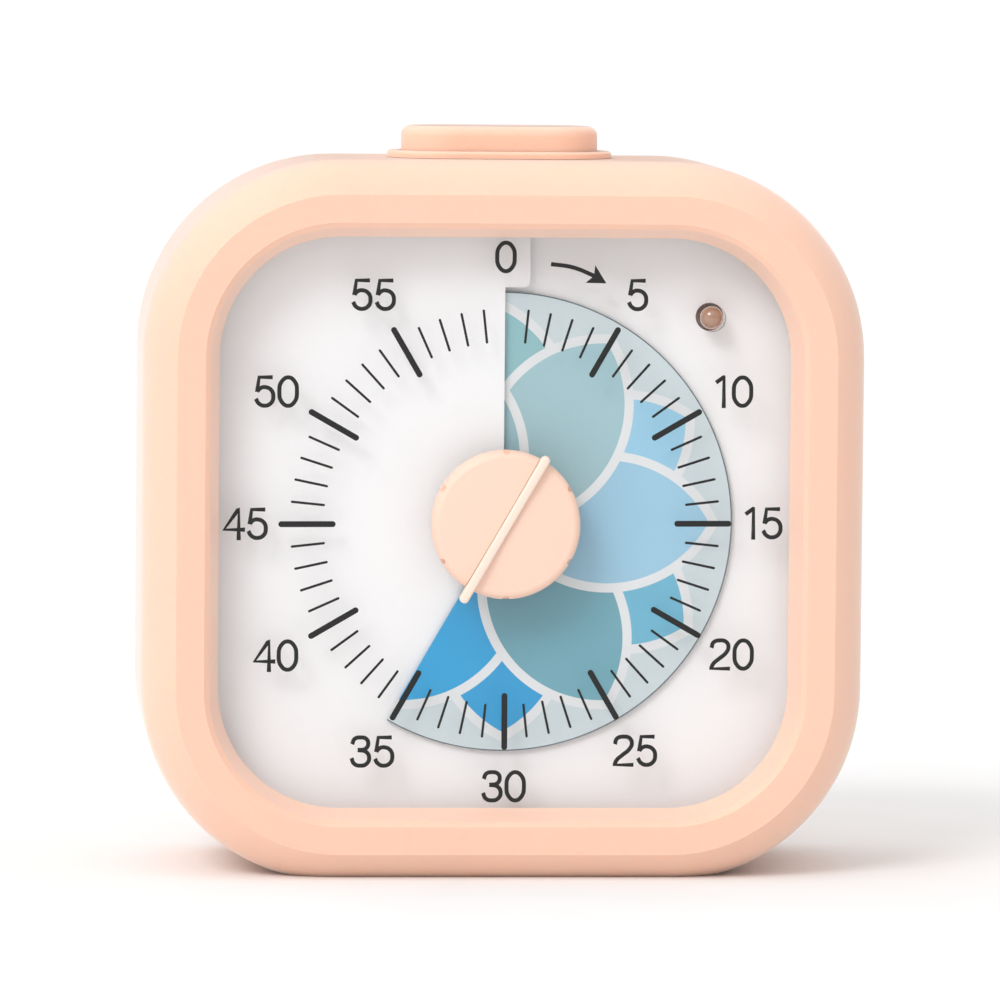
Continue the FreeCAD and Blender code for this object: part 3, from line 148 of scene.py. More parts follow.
class TimerColours(bpy.types.PropertyGroup):
    """Colours of the outside pieces."""

    sleeve: colour("Sleeve", "Soft skin of the case", shade(250, 203, 179))
    housing: colour("Housing", "Hard shells and battery door", shade(246, 200, 177))
    knob: colour("Knob", "Setting knob", shade(248, 212, 192))
    pointer: colour("Pointer", "Rib across the knob", shade(250, 226, 210))
    face: colour("Face", "White face under the scale", shade(243, 243, 244))
    ink: colour("Ink", "Marks, numbers and arrow", shade(20, 20, 21))
    outline: colour("Petal outline", "Pale line round the petals", shade(224, 227, 229))
    rim: colour("Disc ground", "Disc outside the petals", shade(203, 216, 220))
    # Painted shade: the dark line along the disc's edge.
    rim_line: colour("Rim line", "Dark line along the disc's edge", shade(92, 104, 112))
    # Painted shade: the dark warm colour on the wall of the lamp's hole.
    lamp_hole: colour("Lamp hole", "Edge of the hole round the lamp", shade(150, 62, 44))
    lamp: colour("Lamp", "Body of the small lamp", shade(170, 132, 110))
    jacket: colour("Cell jacket", "Jackets of the two cells", shade(74, 128, 148))
    band: colour("Cell band", "Band round each jacket", shade(226, 228, 228))


def on_dial(radius, angle):
    """A point of the dial's plane at a radius and a dial angle in degrees."""
    radians = math.radians(angle)
    return Vector((radius * math.sin(radians), 0.0, DIAL_Z + radius * math.cos(radians)))


def minute_angle(minute):
    """The dial angle of a minute of the printed scale, in degrees."""
    scale_turn = bpy.context.scene.timer_sizes.scale_turn
    return minute * DEGREES_A_MINUTE + math.degrees(scale_turn)


def middle_of(name):
    """The middle of a CAD node's box."""
    return sum(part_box(name), Vector()) / 2


def opaque(rgb):
    """A colour with its alpha."""
    return (*rgb, 1.0)


class Nodes:
    """Short ways to add nodes to one tree."""

    def __init__(self, tree):
        self.tree = tree

    def add(self, kind, **values):
        """A node with some of its settings."""
        node = self.tree.nodes.new(kind)
        for name, value in values.items():
            setattr(node, name, value)
        return node

    def link(self, source, target):
        """One link, or a plain value where the source is a number or colour."""
        if isinstance(source, bpy.types.NodeSocket):
            self.tree.links.new(source, target)
        else:
            target.default_value = source

    def math(self, operation, first, second=None):
        """The result of a Math node."""
        node = self.add("ShaderNodeMath", operation=operation)
        self.link(first, node.inputs[0])
        if second is not None:
            self.link(second, node.inputs[1])
        return node.outputs[0]

    def hypotenuse(self, first, second):
        """The distance to a point that is so far along two directions."""
        squares = self.math(
            "ADD", self.math("POWER", first, 2.0), self.math("POWER", second, 2.0)
        )
        return self.math("SQRT", squares)

    def mix(self, share, first, second):
        """The result of a colour Mix node."""
        node = self.add("ShaderNodeMix", data_type="RGBA")
        self.link(share, node.inputs["Factor"])
        self.link(first, node.inputs["A"])
        self.link(second, node.inputs["B"])
        return node.outputs["Result"]

    def scaled(self, vector, factor):
        """A vector or colour times a number."""
        node = self.add("ShaderNodeVectorMath", operation="SCALE")
        self.link(vector, node.inputs[0])
        self.link(factor, node.inputs["Scale"])
        return node.outputs["Vector"]

    def noise(self, vector, scale, detail=2.0, roughness=0.5):
        """The value of a Noise Texture."""
        node = self.add("ShaderNodeTexNoise")
        self.link(vector, node.inputs["Vector"])
        self.link(scale, node.inputs["Scale"])
        node.inputs["Detail"].default_value = detail
        node.inputs["Roughness"].default_value = roughness
        return node.outputs["Fac"]

    def ranged(self, value, low, high):
        """A value from 0 to 1 spread over another range."""
        node = self.add("ShaderNodeMapRange")
        self.link(value, node.inputs["Value"])
        self.link(low, node.inputs["To Min"])
        self.link(high, node.inputs["To Max"])
        return node.outputs["Result"]

    def bump(self, height, distance):
        """The normal of a surface with small changes of height."""
        node = self.add("ShaderNodeBump")
        self.link(height, node.inputs["Height"])
        self.link(distance, node.inputs["Distance"])
        return node.outputs["Normal"]

    def place(self):
        """The place on the piece, in Object coordinates."""
        return self.add("ShaderNodeTexCoord").outputs["Object"]

    def split(self, vector):
        """The parts of a vector, by their axes."""
        node = self.add("ShaderNodeSeparateXYZ")
        self.link(vector, node.inputs[0])
        return node.outputs

    def from_point(self, point):
        """How far across and how far up a place is from a point of the dial."""
        place = self.split(self.place())
        across = self.math("SUBTRACT", place["X"], point.x)
        up = self.math("SUBTRACT", place["Z"], point.z)
        return across, up


def new_group(name, inputs, outputs):
    """A shader group, its node helper and the inner ends of its inputs and outputs.

    Each input is a name, a kind and a default, and each output a name and a kind.
    """
    group = bpy.data.node_groups.new(name, "ShaderNodeTree")
    for label, kind, default in inputs:
        socket = group.interface.new_socket(name=label, in_out="INPUT", socket_type=kind)
        socket.default_value = default
    for label, kind in outputs:
        group.interface.new_socket(name=label, in_out="OUTPUT", socket_type=kind)
    make = Nodes(group)
    inside = make.add("NodeGroupInput").outputs
    outside = make.add("NodeGroupOutput").inputs
    return group, make, inside, outside


def surface_group():
    """Group: small changes of colour and roughness and a fine grain, for moulded pieces."""
    name = "timer_surface"
    if name in bpy.data.node_groups:
        return bpy.data.node_groups[name]
    inputs = (
        ("Color", "NodeSocketColor", (0.8, 0.8, 0.8, 1.0)),
        ("Color Change", "NodeSocketFloat", 0.03),
        ("Roughness", "NodeSocketFloat", 0.5),
        ("Roughness Change", "NodeSocketFloat", 0.05),
        ("Grain Scale", "NodeSocketFloat", 3000.0),
        ("Grain Height", "NodeSocketFloat", 4 * MICRON),
    )
    outputs = (
        ("Color", "NodeSocketColor"),
        ("Roughness", "NodeSocketFloat"),
        ("Normal", "NodeSocketVector"),
    )
    group, make, inside, outside = new_group(name, inputs, outputs)
    place = make.place()
    broad = make.noise(place, 45.0, 3.0)
    fine = make.noise(place, inside["Grain Scale"], 3.0, 0.6)
    change = make.math("MULTIPLY", make.math("SUBTRACT", broad, 0.5), inside["Color Change"])
    bright = make.math("ADD", 1.0, make.math("MULTIPLY", change, 2.0))
    make.link(make.scaled(inside["Color"], bright), outside["Color"])
    mean = make.math("MULTIPLY", make.math("ADD", broad, fine), 0.5)
    swing = make.math("MULTIPLY", make.math("SUBTRACT", mean, 0.5), inside["Roughness Change"])
    make.link(make.math("ADD", inside["Roughness"], swing), outside["Roughness"])
    make.link(make.bump(fine, inside["Grain Height"]), outside["Normal"])
    return group


def brushed_group():
    """Group: fine turning or rolling lines along one axis, for metal pieces."""
    name = "timer_brushed"
    if name in bpy.data.node_groups:
        return bpy.data.node_groups[name]
    inputs = (
        ("Stretch", "NodeSocketVector", (400.0, 9000.0, 9000.0)),
        ("Roughness", "NodeSocketFloat", 0.3),
        ("Height", "NodeSocketFloat", 2 * MICRON),
    )
    outputs = (("Roughness", "NodeSocketFloat"), ("Normal", "NodeSocketVector"))
    group, make, inside, outside = new_group(name, inputs, outputs)
    stretched = make.add("ShaderNodeVectorMath", operation="MULTIPLY")
    make.link(make.place(), stretched.inputs[0])
    make.link(inside["Stretch"], stretched.inputs[1])
    lines = make.noise(stretched.outputs["Vector"], 1.0)
    swing = make.math("MULTIPLY", make.math("SUBTRACT", lines, 0.5), 0.25)
    make.link(make.math("ADD", inside["Roughness"], swing), outside["Roughness"])
    make.link(make.bump(lines, inside["Height"]), outside["Normal"])
    return group


def new_material(name):
    """An empty material, its node helper and its shader."""
    material = bpy.data.materials.new(name)
    material.use_nodes = True
    make = Nodes(material.node_tree)
    shader = material.node_tree.nodes["Principled BSDF"]
    return material, make, shader


def add_surface(make, shader, rgb, roughness, change, grain, height, swing=0.05):
    """Feeds a shader from the moulded surface group. The colour may come from a socket."""
    group = make.add("ShaderNodeGroup", node_tree=surface_group())
    make.link(rgb, group.inputs["Color"])
    group.inputs["Color Change"].default_value = change
    group.inputs["Roughness"].default_value = roughness
    group.inputs["Roughness Change"].default_value = swing
    group.inputs["Grain Scale"].default_value = grain
    group.inputs["Grain Height"].default_value = height
    make.link(group.outputs["Color"], shader.inputs["Base Color"])
    make.link(group.outputs["Roughness"], shader.inputs["Roughness"])
    make.link(group.outputs["Normal"], shader.inputs["Normal"])


def add_brushing(make, shader, stretch, roughness):
    """Feeds a shader's roughness and normal from the brushed group."""
    group = make.add("ShaderNodeGroup", node_tree=brushed_group())
    group.inputs["Stretch"].default_value = stretch
    group.inputs["Roughness"].default_value = roughness
    make.link(group.outputs["Roughness"], shader.inputs["Roughness"])
    make.link(group.outputs["Normal"], shader.inputs["Normal"])


def moulded(name, rgb, roughness=0.5, change=0.03, grain=3000.0, height=4 * MICRON, **constants):
    """A moulded material. Constants are sockets of the shader that are the same all over."""
    material, make, shader = new_material(name)
    add_surface(make, shader, opaque(rgb), roughness, change, grain, height, roughness * 0.25)
    for socket, value in constants.items():
        shader.inputs[socket.replace("_", " ").title()].default_value = value
    return material


def metal(name, rgb, roughness=0.3, stretch=(9000.0, 400.0, 9000.0)):
    """A bare metal with fine lines along the axis whose stretch is the small one."""
    material, make, shader = new_material(name)
    shader.inputs["Base Color"].default_value = opaque(rgb)
    shader.inputs["Metallic"].default_value = 1.0
    add_brushing(make, shader, stretch, roughness)
    return material


def dress(material, *names):
    """Puts a material on CAD nodes."""
    for name in names:
        node = NODES[name]
        if not node.material_slots:
            node.data.materials.append(material)
        for slot in node.material_slots:
            slot.material = material


def finish_piece(shape, name, material, body, smooth=True):
    """An object from a bmesh, riding on a body and taking the given material."""
    mesh = bpy.data.meshes.new(name)
    shape.to_mesh(mesh)
    shape.free()
    return finish_mesh(mesh, name, material, body, smooth)


def finish_mesh(mesh, name, material, body, smooth=True):
    """An object from a mesh, riding on a body and taking the given material."""
    mesh.name = name
    mesh.materials.clear()
    mesh.materials.append(material)
    for polygon in mesh.polygons:
        polygon.use_smooth = smooth
    piece = bpy.data.objects.new(name, mesh)
    bpy.context.scene.collection.objects.link(piece)
    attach(piece, body)
    return piece


def ink_material():
    """Printed ink: near black, slightly glossy."""
    name = "scale_ink"
    if name in bpy.data.materials:
        return bpy.data.materials[name]
    ink = bpy.context.scene.timer_colours.ink
    return moulded(name, ink, roughness=0.45, grain=9000.0, height=MICRON)


class TIMER_OT_sleeve(bpy.types.Operator):
    """Soft silicone finish for the sleeve, and for the button and its bezel"""

    bl_idname = "timer.sleeve"
    bl_label = "Silicone sleeve and button"

    def execute(self, context):
        silicone = moulded(
            "soft_silicone", context.scene.timer_colours.sleeve,
            roughness=0.52, change=0.015, grain=5200.0, height=2.5 * MICRON,
            subsurface_weight=0.25, subsurface_scale=2.5 * MM,
            sheen_weight=0.7, sheen_roughness=0.35,
        )
        dress(silicone, "silicone_sleeve", "light_button", "button_bezel")
        return {"FINISHED"}


class TIMER_OT_housings(bpy.types.Operator):
    """Fine moulded texture for the two shells and the battery door"""

    bl_idname = "timer.housings"
    bl_label = "Housings and battery door"

    def execute(self, context):
        plastic = moulded(
            "moulded_shell", context.scene.timer_colours.housing,
            roughness=0.5, change=0.02, grain=2400.0, height=12 * MICRON,
        )
        dress(plastic, "front_housing", "rear_housing", "battery_door")
        return {"FINISHED"}


class TIMER_OT_lens(bpy.types.Operator):
    """Clear window: it mirrors more at a slant, and the dial shows through it"""

    bl_idname = "timer.lens"
    bl_label = "Clear lens"

    def execute(self, context):
        clear, make, shader = new_material("clear_lens")
        smudge = make.noise(make.place(), 60.0, 3.0)
        make.link(make.ranged(smudge, 0.02, 0.06), shader.inputs["Roughness"])
        mirror = make.add("ShaderNodeFresnel")
        mirror.inputs["IOR"].default_value = 1.49
        inner_side = make.add("ShaderNodeNewGeometry").outputs["Backfacing"]
        outer_side = make.math("SUBTRACT", 1.0, inner_side)
        seen = make.math("MULTIPLY", mirror.outputs["Fac"], outer_side)
        make.link(seen, shader.inputs["Alpha"])
        shader.inputs["Base Color"].default_value = (1.0, 1.0, 1.0, 1.0)
        shader.inputs["Metallic"].default_value = 1.0
        dress(clear, "dial_lens")
        return {"FINISHED"}


CAPSULE_SEGMENTS = 20


def add_capsule(shape, inner, outer, wide, thick):
    """A flat bar with round ends, along Y and raised along Z. Returns its vertices."""
    half_step = Matrix.Rotation(math.pi / CAPSULE_SEGMENTS, 4, "Z")
    verts = bmesh.ops.create_circle(
        shape, cap_ends=True, segments=CAPSULE_SEGMENTS, radius=wide / 2, matrix=half_step,
    )["verts"]
    for vert in verts:
        vert.co.y += outer - wide / 2 if vert.co.y > 0 else inner + wide / 2
    faces = list({face for vert in verts for face in vert.link_faces})
    raised = bmesh.ops.extrude_face_region(shape, geom=faces)
    tops = [item for item in raised["geom"] if isinstance(item, bmesh.types.BMVert)]
    bmesh.ops.translate(shape, vec=(0.0, 0.0, thick), verts=tops)
    return verts + tops


def stand_on_dial(shape, verts, back, angle):
    """Turns flat vertices up to face the viewer, to a dial angle and against a plane."""
    upright = Matrix.Rotation(math.radians(90), 4, "X")
    turned = Matrix.Rotation(math.radians(angle), 4, "Y")
    place = Matrix.Translation((0.0, back, DIAL_Z))
    bmesh.ops.transform(shape, matrix=place @ turned @ upright, verts=list(verts))


class TIMER_OT_marks(bpy.types.Operator):
    """The minute marks, printed on the lens. Minute 0 has none"""

    bl_idname = "timer.marks"
    bl_label = "Minute marks"

    def execute(self, context):
        sizes = context.scene.timer_sizes
        shape = bmesh.new()
        for minute in range(1, 60):
            if minute % 5:
                span = (sizes.one_inner, sizes.one_outer, sizes.one_wide)
            else:
                span = (sizes.five_inner, sizes.five_outer, sizes.five_wide)
            mark = add_capsule(shape, *span, sizes.print_thick)
            stand_on_dial(shape, mark, LENS_FRONT, minute_angle(minute))
        shift = (sizes.marks_shift, 0.0, -sizes.marks_shift)
        bmesh.ops.translate(shape, vec=shift, verts=shape.verts)
        bmesh.ops.recalc_face_normals(shape, faces=shape.faces)
        finish_piece(shape, "scale_marks", ink_material(), "case", smooth=False)
        return {"FINISHED"}


# Middle lines of the digits. The height is 1 with the stroke, the origin is the digit's middle, and
# each point is across, up, and whether the line is smooth there. The first entry says if it closes.
DIGITS = {
    "0": [
        (True, [(0, 0.43, 1), (0.2, 0.3, 1), (0.265, 0, 1), (0.2, -0.3, 1), (0, -0.43, 1),
                (-0.2, -0.3, 1), (-0.265, 0, 1), (-0.2, 0.3, 1)]),
    ],
    "1": [(False, [(-0.1, 0.27, 0), (0.13, 0.44, 0), (0.14, 0.44, 0), (0.14, -0.5, 0)])],
    "2": [
        (False, [(-0.26, 0.2, 1), (-0.2, 0.37, 1), (0.0, 0.43, 1), (0.19, 0.38, 1),
                 (0.255, 0.22, 1), (0.18, 0.05, 1), (-0.03, -0.13, 1), (-0.2, -0.28, 1),
                 (-0.27, -0.43, 0), (0.31, -0.43, 0)]),
    ],
    "3": [
        (False, [(-0.25, 0.22, 1), (-0.18, 0.38, 1), (0.0, 0.43, 1), (0.18, 0.38, 1),
                 (0.235, 0.24, 1), (0.16, 0.09, 1), (-0.08, 0.045, 1)]),
        (False, [(-0.08, 0.045, 1), (0.17, -0.01, 1), (0.265, -0.18, 1), (0.19, -0.37, 1),
                 (0.0, -0.43, 1), (-0.19, -0.37, 1), (-0.27, -0.2, 1)]),
    ],
    "4": [
        (False, [(0.15, -0.5, 0), (0.15, 0.43, 0), (0.11, 0.4, 0), (-0.29, -0.18, 0),
                 (0.34, -0.18, 0)]),
    ],
    "5": [
        (False, [(0.24, 0.43, 0), (-0.17, 0.43, 0), (-0.232, -0.015, 0)]),
        (False, [(-0.225, 0.0, 1), (-0.12, 0.105, 1), (0.02, 0.13, 1), (0.2, 0.04, 1),
                 (0.26, -0.15, 1), (0.2, -0.34, 1), (0.0, -0.43, 1), (-0.18, -0.36, 1),
                 (-0.265, -0.22, 1)]),
    ],
}
# The arrow's middle line and the corners of its head, in millimetres across and up from the axis.
ARROW_SHAFT = [(5.45, 32.2), (8.2, 31.8), (10.9, 30.75)]
ARROW_HEAD = [(12.35, 29.85), (10.95, 32.1), (10.8, 30.75), (9.75, 29.9)]


def add_stroke(data, closed, points):
    """A smooth or cornered line of a drawn curve, from points across, up and smooth."""
    spline = data.splines.new("BEZIER")
    spline.bezier_points.add(len(points) - 1)
    spline.use_cyclic_u = closed
    for knot, (across, up, smooth) in zip(spline.bezier_points, points):
        knot.co = (across, 0.0, up)
        kind = "AUTO" if smooth else "VECTOR"
        knot.handle_left_type = kind
        knot.handle_right_type = kind


def drawn_mesh(data):
    """The mesh of a drawn curve, whose lines are flattened to the thickness of ink."""
    sizes = bpy.context.scene.timer_sizes
    data.dimensions = "3D"
    data.bevel_depth = sizes.number_stroke / 2
    data.bevel_resolution = 3
    data.resolution_u = 8
    data.use_fill_caps = True
    curve = bpy.data.objects.new("drawing", data)
    bpy.context.scene.collection.objects.link(curve)
    bpy.context.view_layer.update()
    mesh = bpy.data.meshes.new_from_object(curve)
    bpy.data.objects.remove(curve)
    flat = Matrix.Scale(sizes.print_thick * 2 / sizes.number_stroke, 4, (0, 1, 0))
    mesh.transform(Matrix.Translation((0.0, LENS_FRONT, 0.0)) @ flat)
    return mesh


class TIMER_OT_numbers(bpy.types.Operator):
    """The numbers 0 to 55, printed on the lens"""

    bl_idname = "timer.numbers"
    bl_label = "Numbers"

    def execute(self, context):
        sizes = context.scene.timer_sizes
        high = sizes.number_high
        radii = {0: sizes.top_radius, 15: sizes.side_radius, 45: sizes.side_radius}
        data = bpy.data.curves.new("numbers", "CURVE")
        for minute in range(0, 60, 5):
            middle = on_dial(radii.get(minute, sizes.number_radius), minute_angle(minute))
            text = str(minute)
            if text.startswith("1"):
                middle.x -= sizes.narrow_shift
            for index, digit in enumerate(text):
                left = middle.x + (index - (len(text) - 1) / 2) * sizes.digit_pitch
                for closed, points in DIGITS[digit]:
                    placed = [
                        (left + across * high, middle.z + up * high, smooth)
                        for across, up, smooth in points
                    ]
                    add_stroke(data, closed, placed)
        finish_mesh(drawn_mesh(data), "scale_numbers", ink_material(), "case")
        return {"FINISHED"}


class TIMER_OT_arrow(bpy.types.Operator):
    """The small arrow beside the 0, printed on the lens"""

    bl_idname = "timer.arrow"
    bl_label = "Direction arrow"

    def execute(self, context):
        thick = context.scene.timer_sizes.print_thick
        data = bpy.data.curves.new("arrow", "CURVE")
        add_stroke(data, False, [(x * MM, DIAL_Z + z * MM, True) for x, z in ARROW_SHAFT])
        shape = bmesh.new()
        shape.from_mesh(drawn_mesh(data))
        front = LENS_FRONT - thick
        corners = [shape.verts.new((x * MM, front, DIAL_Z + z * MM)) for x, z in ARROW_HEAD]
        head = bmesh.ops.contextual_create(shape, geom=corners)
        walls = bmesh.ops.extrude_face_region(shape, geom=head["faces"])
        back = [item for item in walls["geom"] if isinstance(item, bmesh.types.BMVert)]
        bmesh.ops.translate(shape, vec=(0.0, thick, 0.0), verts=back)
        bmesh.ops.recalc_face_normals(shape, faces=shape.faces)
        finish_piece(shape, "scale_arrow", ink_material(), "case", smooth=False)
        return {"FINISHED"}


class TIMER_OT_face(bpy.types.Operator):
    """Matt white finish for the spiral face, with painted shade, dark and warm, in and round the
    lamp's hole
    """

    bl_idname = "timer.face"
    bl_label = "White face"

    def execute(self, context):
        sizes = context.scene.timer_sizes
        colours = context.scene.timer_colours
        white, make, shader = new_material("white_face")
        # Inside the hole shade radius the white face is coloured dark and warm: painted shade of
        # the lamp's hole.
        from_lamp = make.hypotenuse(*make.from_point(middle_of("indicator_lamp")))
        hole = make.math("LESS_THAN", from_lamp, sizes.lamp_hole)
        tinted = make.mix(hole, opaque(colours.face), opaque(colours.lamp_hole))
        add_surface(
            make, shader, tinted, roughness=0.42, change=0.012, grain=3600.0, height=2 * MICRON,
        )
        dress(white, "face_plate")
        return {"FINISHED"}


# Screen colours of the petals, clockwise. The front row starts at a dial angle of 30 degrees and
# the back row at 0.
FRONT_PETALS = [
    (158, 194, 202), (152, 198, 222), (106, 164, 180), (12, 158, 214), (150, 185, 196),
    (150, 190, 200),
]
BACK_PETALS = [
    (138, 186, 192), (148, 200, 226), (104, 178, 206), (16, 154, 210), (140, 190, 205),
    (146, 188, 198),
]
BACK_SCALE = 1.02
INNER_TONE = 0.86
OUTER_TONE = 1.06


def petal_depth(make, along, across, sizes, scale):
    """How far a point is inside a petal. Outside it is below 0."""
    from_centre = make.math("SUBTRACT", along, sizes.petal_centre * scale)
    from_side = make.math("ADD", make.math("ABSOLUTE", across), sizes.petal_offset * scale)
    away = make.hypotenuse(from_centre, from_side)
    return make.math("SUBTRACT", sizes.petal_side * scale, away)


def step_colours(make, share, shades):
    """Equal steps of colour over a value from 0 to 1."""
    ramp = make.add("ShaderNodeValToRGB")
    ramp.color_ramp.interpolation = "CONSTANT"
    stops = ramp.color_ramp.elements
    while len(stops) < len(shades):
        stops.new(1.0)
    for index, rgb in enumerate(shades):
        stops[index].position = index / len(shades)
        stops[index].color = opaque(shade(*rgb))
    make.link(share, ramp.inputs["Fac"])
    return ramp.outputs["Color"]


def rosette_group(sizes):
    """Group: two rows of six overlapping petals about the dial's axis."""
    inputs = (
        ("Outline Color", "NodeSocketColor", (0.8, 0.8, 0.8, 1.0)),
        ("Ground Color", "NodeSocketColor", (0.6, 0.6, 0.6, 1.0)),
    )
    outputs = (("Color", "NodeSocketColor"),)
    group, make, inside, outside = new_group("petal_rosette", inputs, outputs)
    across, up = make.from_point(Vector((0.0, 0.0, DIAL_Z)))
    radius = make.hypotenuse(across, up)
    sixth = math.tau / 6
    angle = make.math("ARCTAN2", across, up)
    shifted = make.math("ADD", angle, math.tau - sixth / 2)
    turns = make.math("DIVIDE", make.math("MODULO", shifted, math.tau), sixth)
    number = make.math("FLOOR", turns)
    part = make.math("MULTIPLY", make.math("SUBTRACT", turns, number), sixth)
    rest = make.math("SUBTRACT", sixth, part)
    middle = make.math("SUBTRACT", part, sixth / 2)
    first_share = make.math("DIVIDE", make.math("ADD", number, 0.5), 6.0)
    next_share = make.math("FRACT", make.math("ADD", first_share, 1 / 6))
    result = inside["Ground Color"]
    for away, share, shades, scale in (
        (middle, next_share, BACK_PETALS, BACK_SCALE),
        (rest, next_share, FRONT_PETALS, 1.0),
        (part, first_share, FRONT_PETALS, 1.0),
    ):
        along = make.math("MULTIPLY", radius, make.math("COSINE", away))
        aside = make.math("MULTIPLY", radius, make.math("SINE", away))
        depth = petal_depth(make, along, aside, sizes, scale)
        outlined = make.math("GREATER_THAN", depth, -sizes.petal_outline)
        filled = make.math("GREATER_THAN", depth, 0.0)
        tip_share = make.math("MULTIPLY", along, 1 / (2 * sizes.petal_centre))
        tone = make.ranged(tip_share, INNER_TONE, OUTER_TONE)
        petal = make.scaled(step_colours(make, share, shades), tone)
        result = make.mix(outlined, result, inside["Outline Color"])
        result = make.mix(filled, result, petal)
    make.link(result, outside["Color"])
    return group


class TIMER_OT_disc(bpy.types.Operator):
    """Printed petals and ground of the colour disc, a thin line of painted shade along its edge,
    and its plain hub
    """

    bl_idname = "timer.disc"
    bl_label = "Colour disc"

    def execute(self, context):
        sizes = context.scene.timer_sizes
        colours = context.scene.timer_colours
        printed, make, shader = new_material("printed_disc")
        rosette = make.add("ShaderNodeGroup", node_tree=rosette_group(sizes))
        rosette.inputs["Outline Color"].default_value = opaque(colours.outline)
        rosette.inputs["Ground Color"].default_value = opaque(colours.rim)
        radius = make.hypotenuse(*make.from_point(Vector((0.0, 0.0, DIAL_Z))))
        # A dark line along the disc's edge: painted shade of the disc's rim and of its shadow on
        # the face.
        edge = make.math("GREATER_THAN", radius, sizes.disc_radius - sizes.rim_line)
        edge_shaded = make.mix(edge, rosette.outputs["Color"], opaque(colours.rim_line))
        add_surface(
            make, shader, edge_shaded, roughness=0.38, change=0.02, grain=5000.0, height=MICRON,
        )
        dress(printed, "colour_disc")
        dress(moulded("hub_plastic", shade(225, 225, 222), roughness=0.4), "disc_hub")
        return {"FINISHED"}


class TIMER_OT_knob(bpy.types.Operator):
    """Satin moulded finish for the knob and its pointer"""

    bl_idname = "timer.knob"
    bl_label = "Knob and pointer"

    def execute(self, context):
        sizes = context.scene.timer_sizes
        colours = context.scene.timer_colours
        satin = moulded(
            "knob_plastic", colours.knob,
            roughness=0.46, change=0.015, grain=4200.0, height=2 * MICRON,
        )
        dress(satin, "setting_knob")
        lighter = moulded(
            "pointer_plastic", colours.pointer,
            roughness=0.4, change=0.01, grain=4200.0, height=2 * MICRON,
        )
        low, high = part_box("knob_pointer")
        tall = high.y - low.y
        shape = bmesh.new()
        add_capsule(shape, -sizes.pointer_tip, sizes.pointer_tail, sizes.pointer_wide, tall)
        top = [
            edge for edge in shape.edges
            if min(vert.co.z for vert in edge.verts) > tall * 0.9
        ]
        bmesh.ops.bevel(
            shape, geom=top, offset=sizes.pointer_wide * 0.3, offset_type="OFFSET", segments=4,
            profile=0.5, affect="EDGES", material=-1,
        )
        stand_on_dial(shape, shape.verts, high.y, math.degrees(sizes.pointer_angle))
        bmesh.ops.recalc_face_normals(shape, faces=shape.faces)
        rib = finish_piece(shape, "pointer_rib", lighter, "knob")
        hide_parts("knob_pointer")
        return {"FINISHED"}


class TIMER_OT_lamp(bpy.types.Operator):
    """Clear epoxy of the lamp, over its warm body"""

    bl_idname = "timer.lamp"
    bl_label = "Small lamp"

    def execute(self, context):
        epoxy = moulded(
            "lamp_epoxy", context.scene.timer_colours.lamp,
            roughness=0.12, change=0.08, grain=1800.0, height=0.5 * MICRON,
            coat_weight=1.0, coat_roughness=0.03,
        )
        dress(epoxy, "indicator_lamp")
        return {"FINISHED"}


# Distances along a cell: the bare tail, the bare end with its nub, and the band from the tail.
BARE_TAIL = 0.9 * MM
BARE_NUB = 2.1 * MM
BAND_START = 5.0 * MM
BAND_END = 6.4 * MM
# A spring's wire has WIRE_SIDES sides, and its tip is SPRING_TAPER as wide as its base.
WIRE_SIDES = 8
STEPS_A_TURN = 24
SPRING_TAPER = 2 / 3


def between(make, value, low, high):
    """1 where a value lies between two others, else 0."""
    return make.math(
        "MULTIPLY", make.math("GREATER_THAN", value, low), make.math("LESS_THAN", value, high)
    )


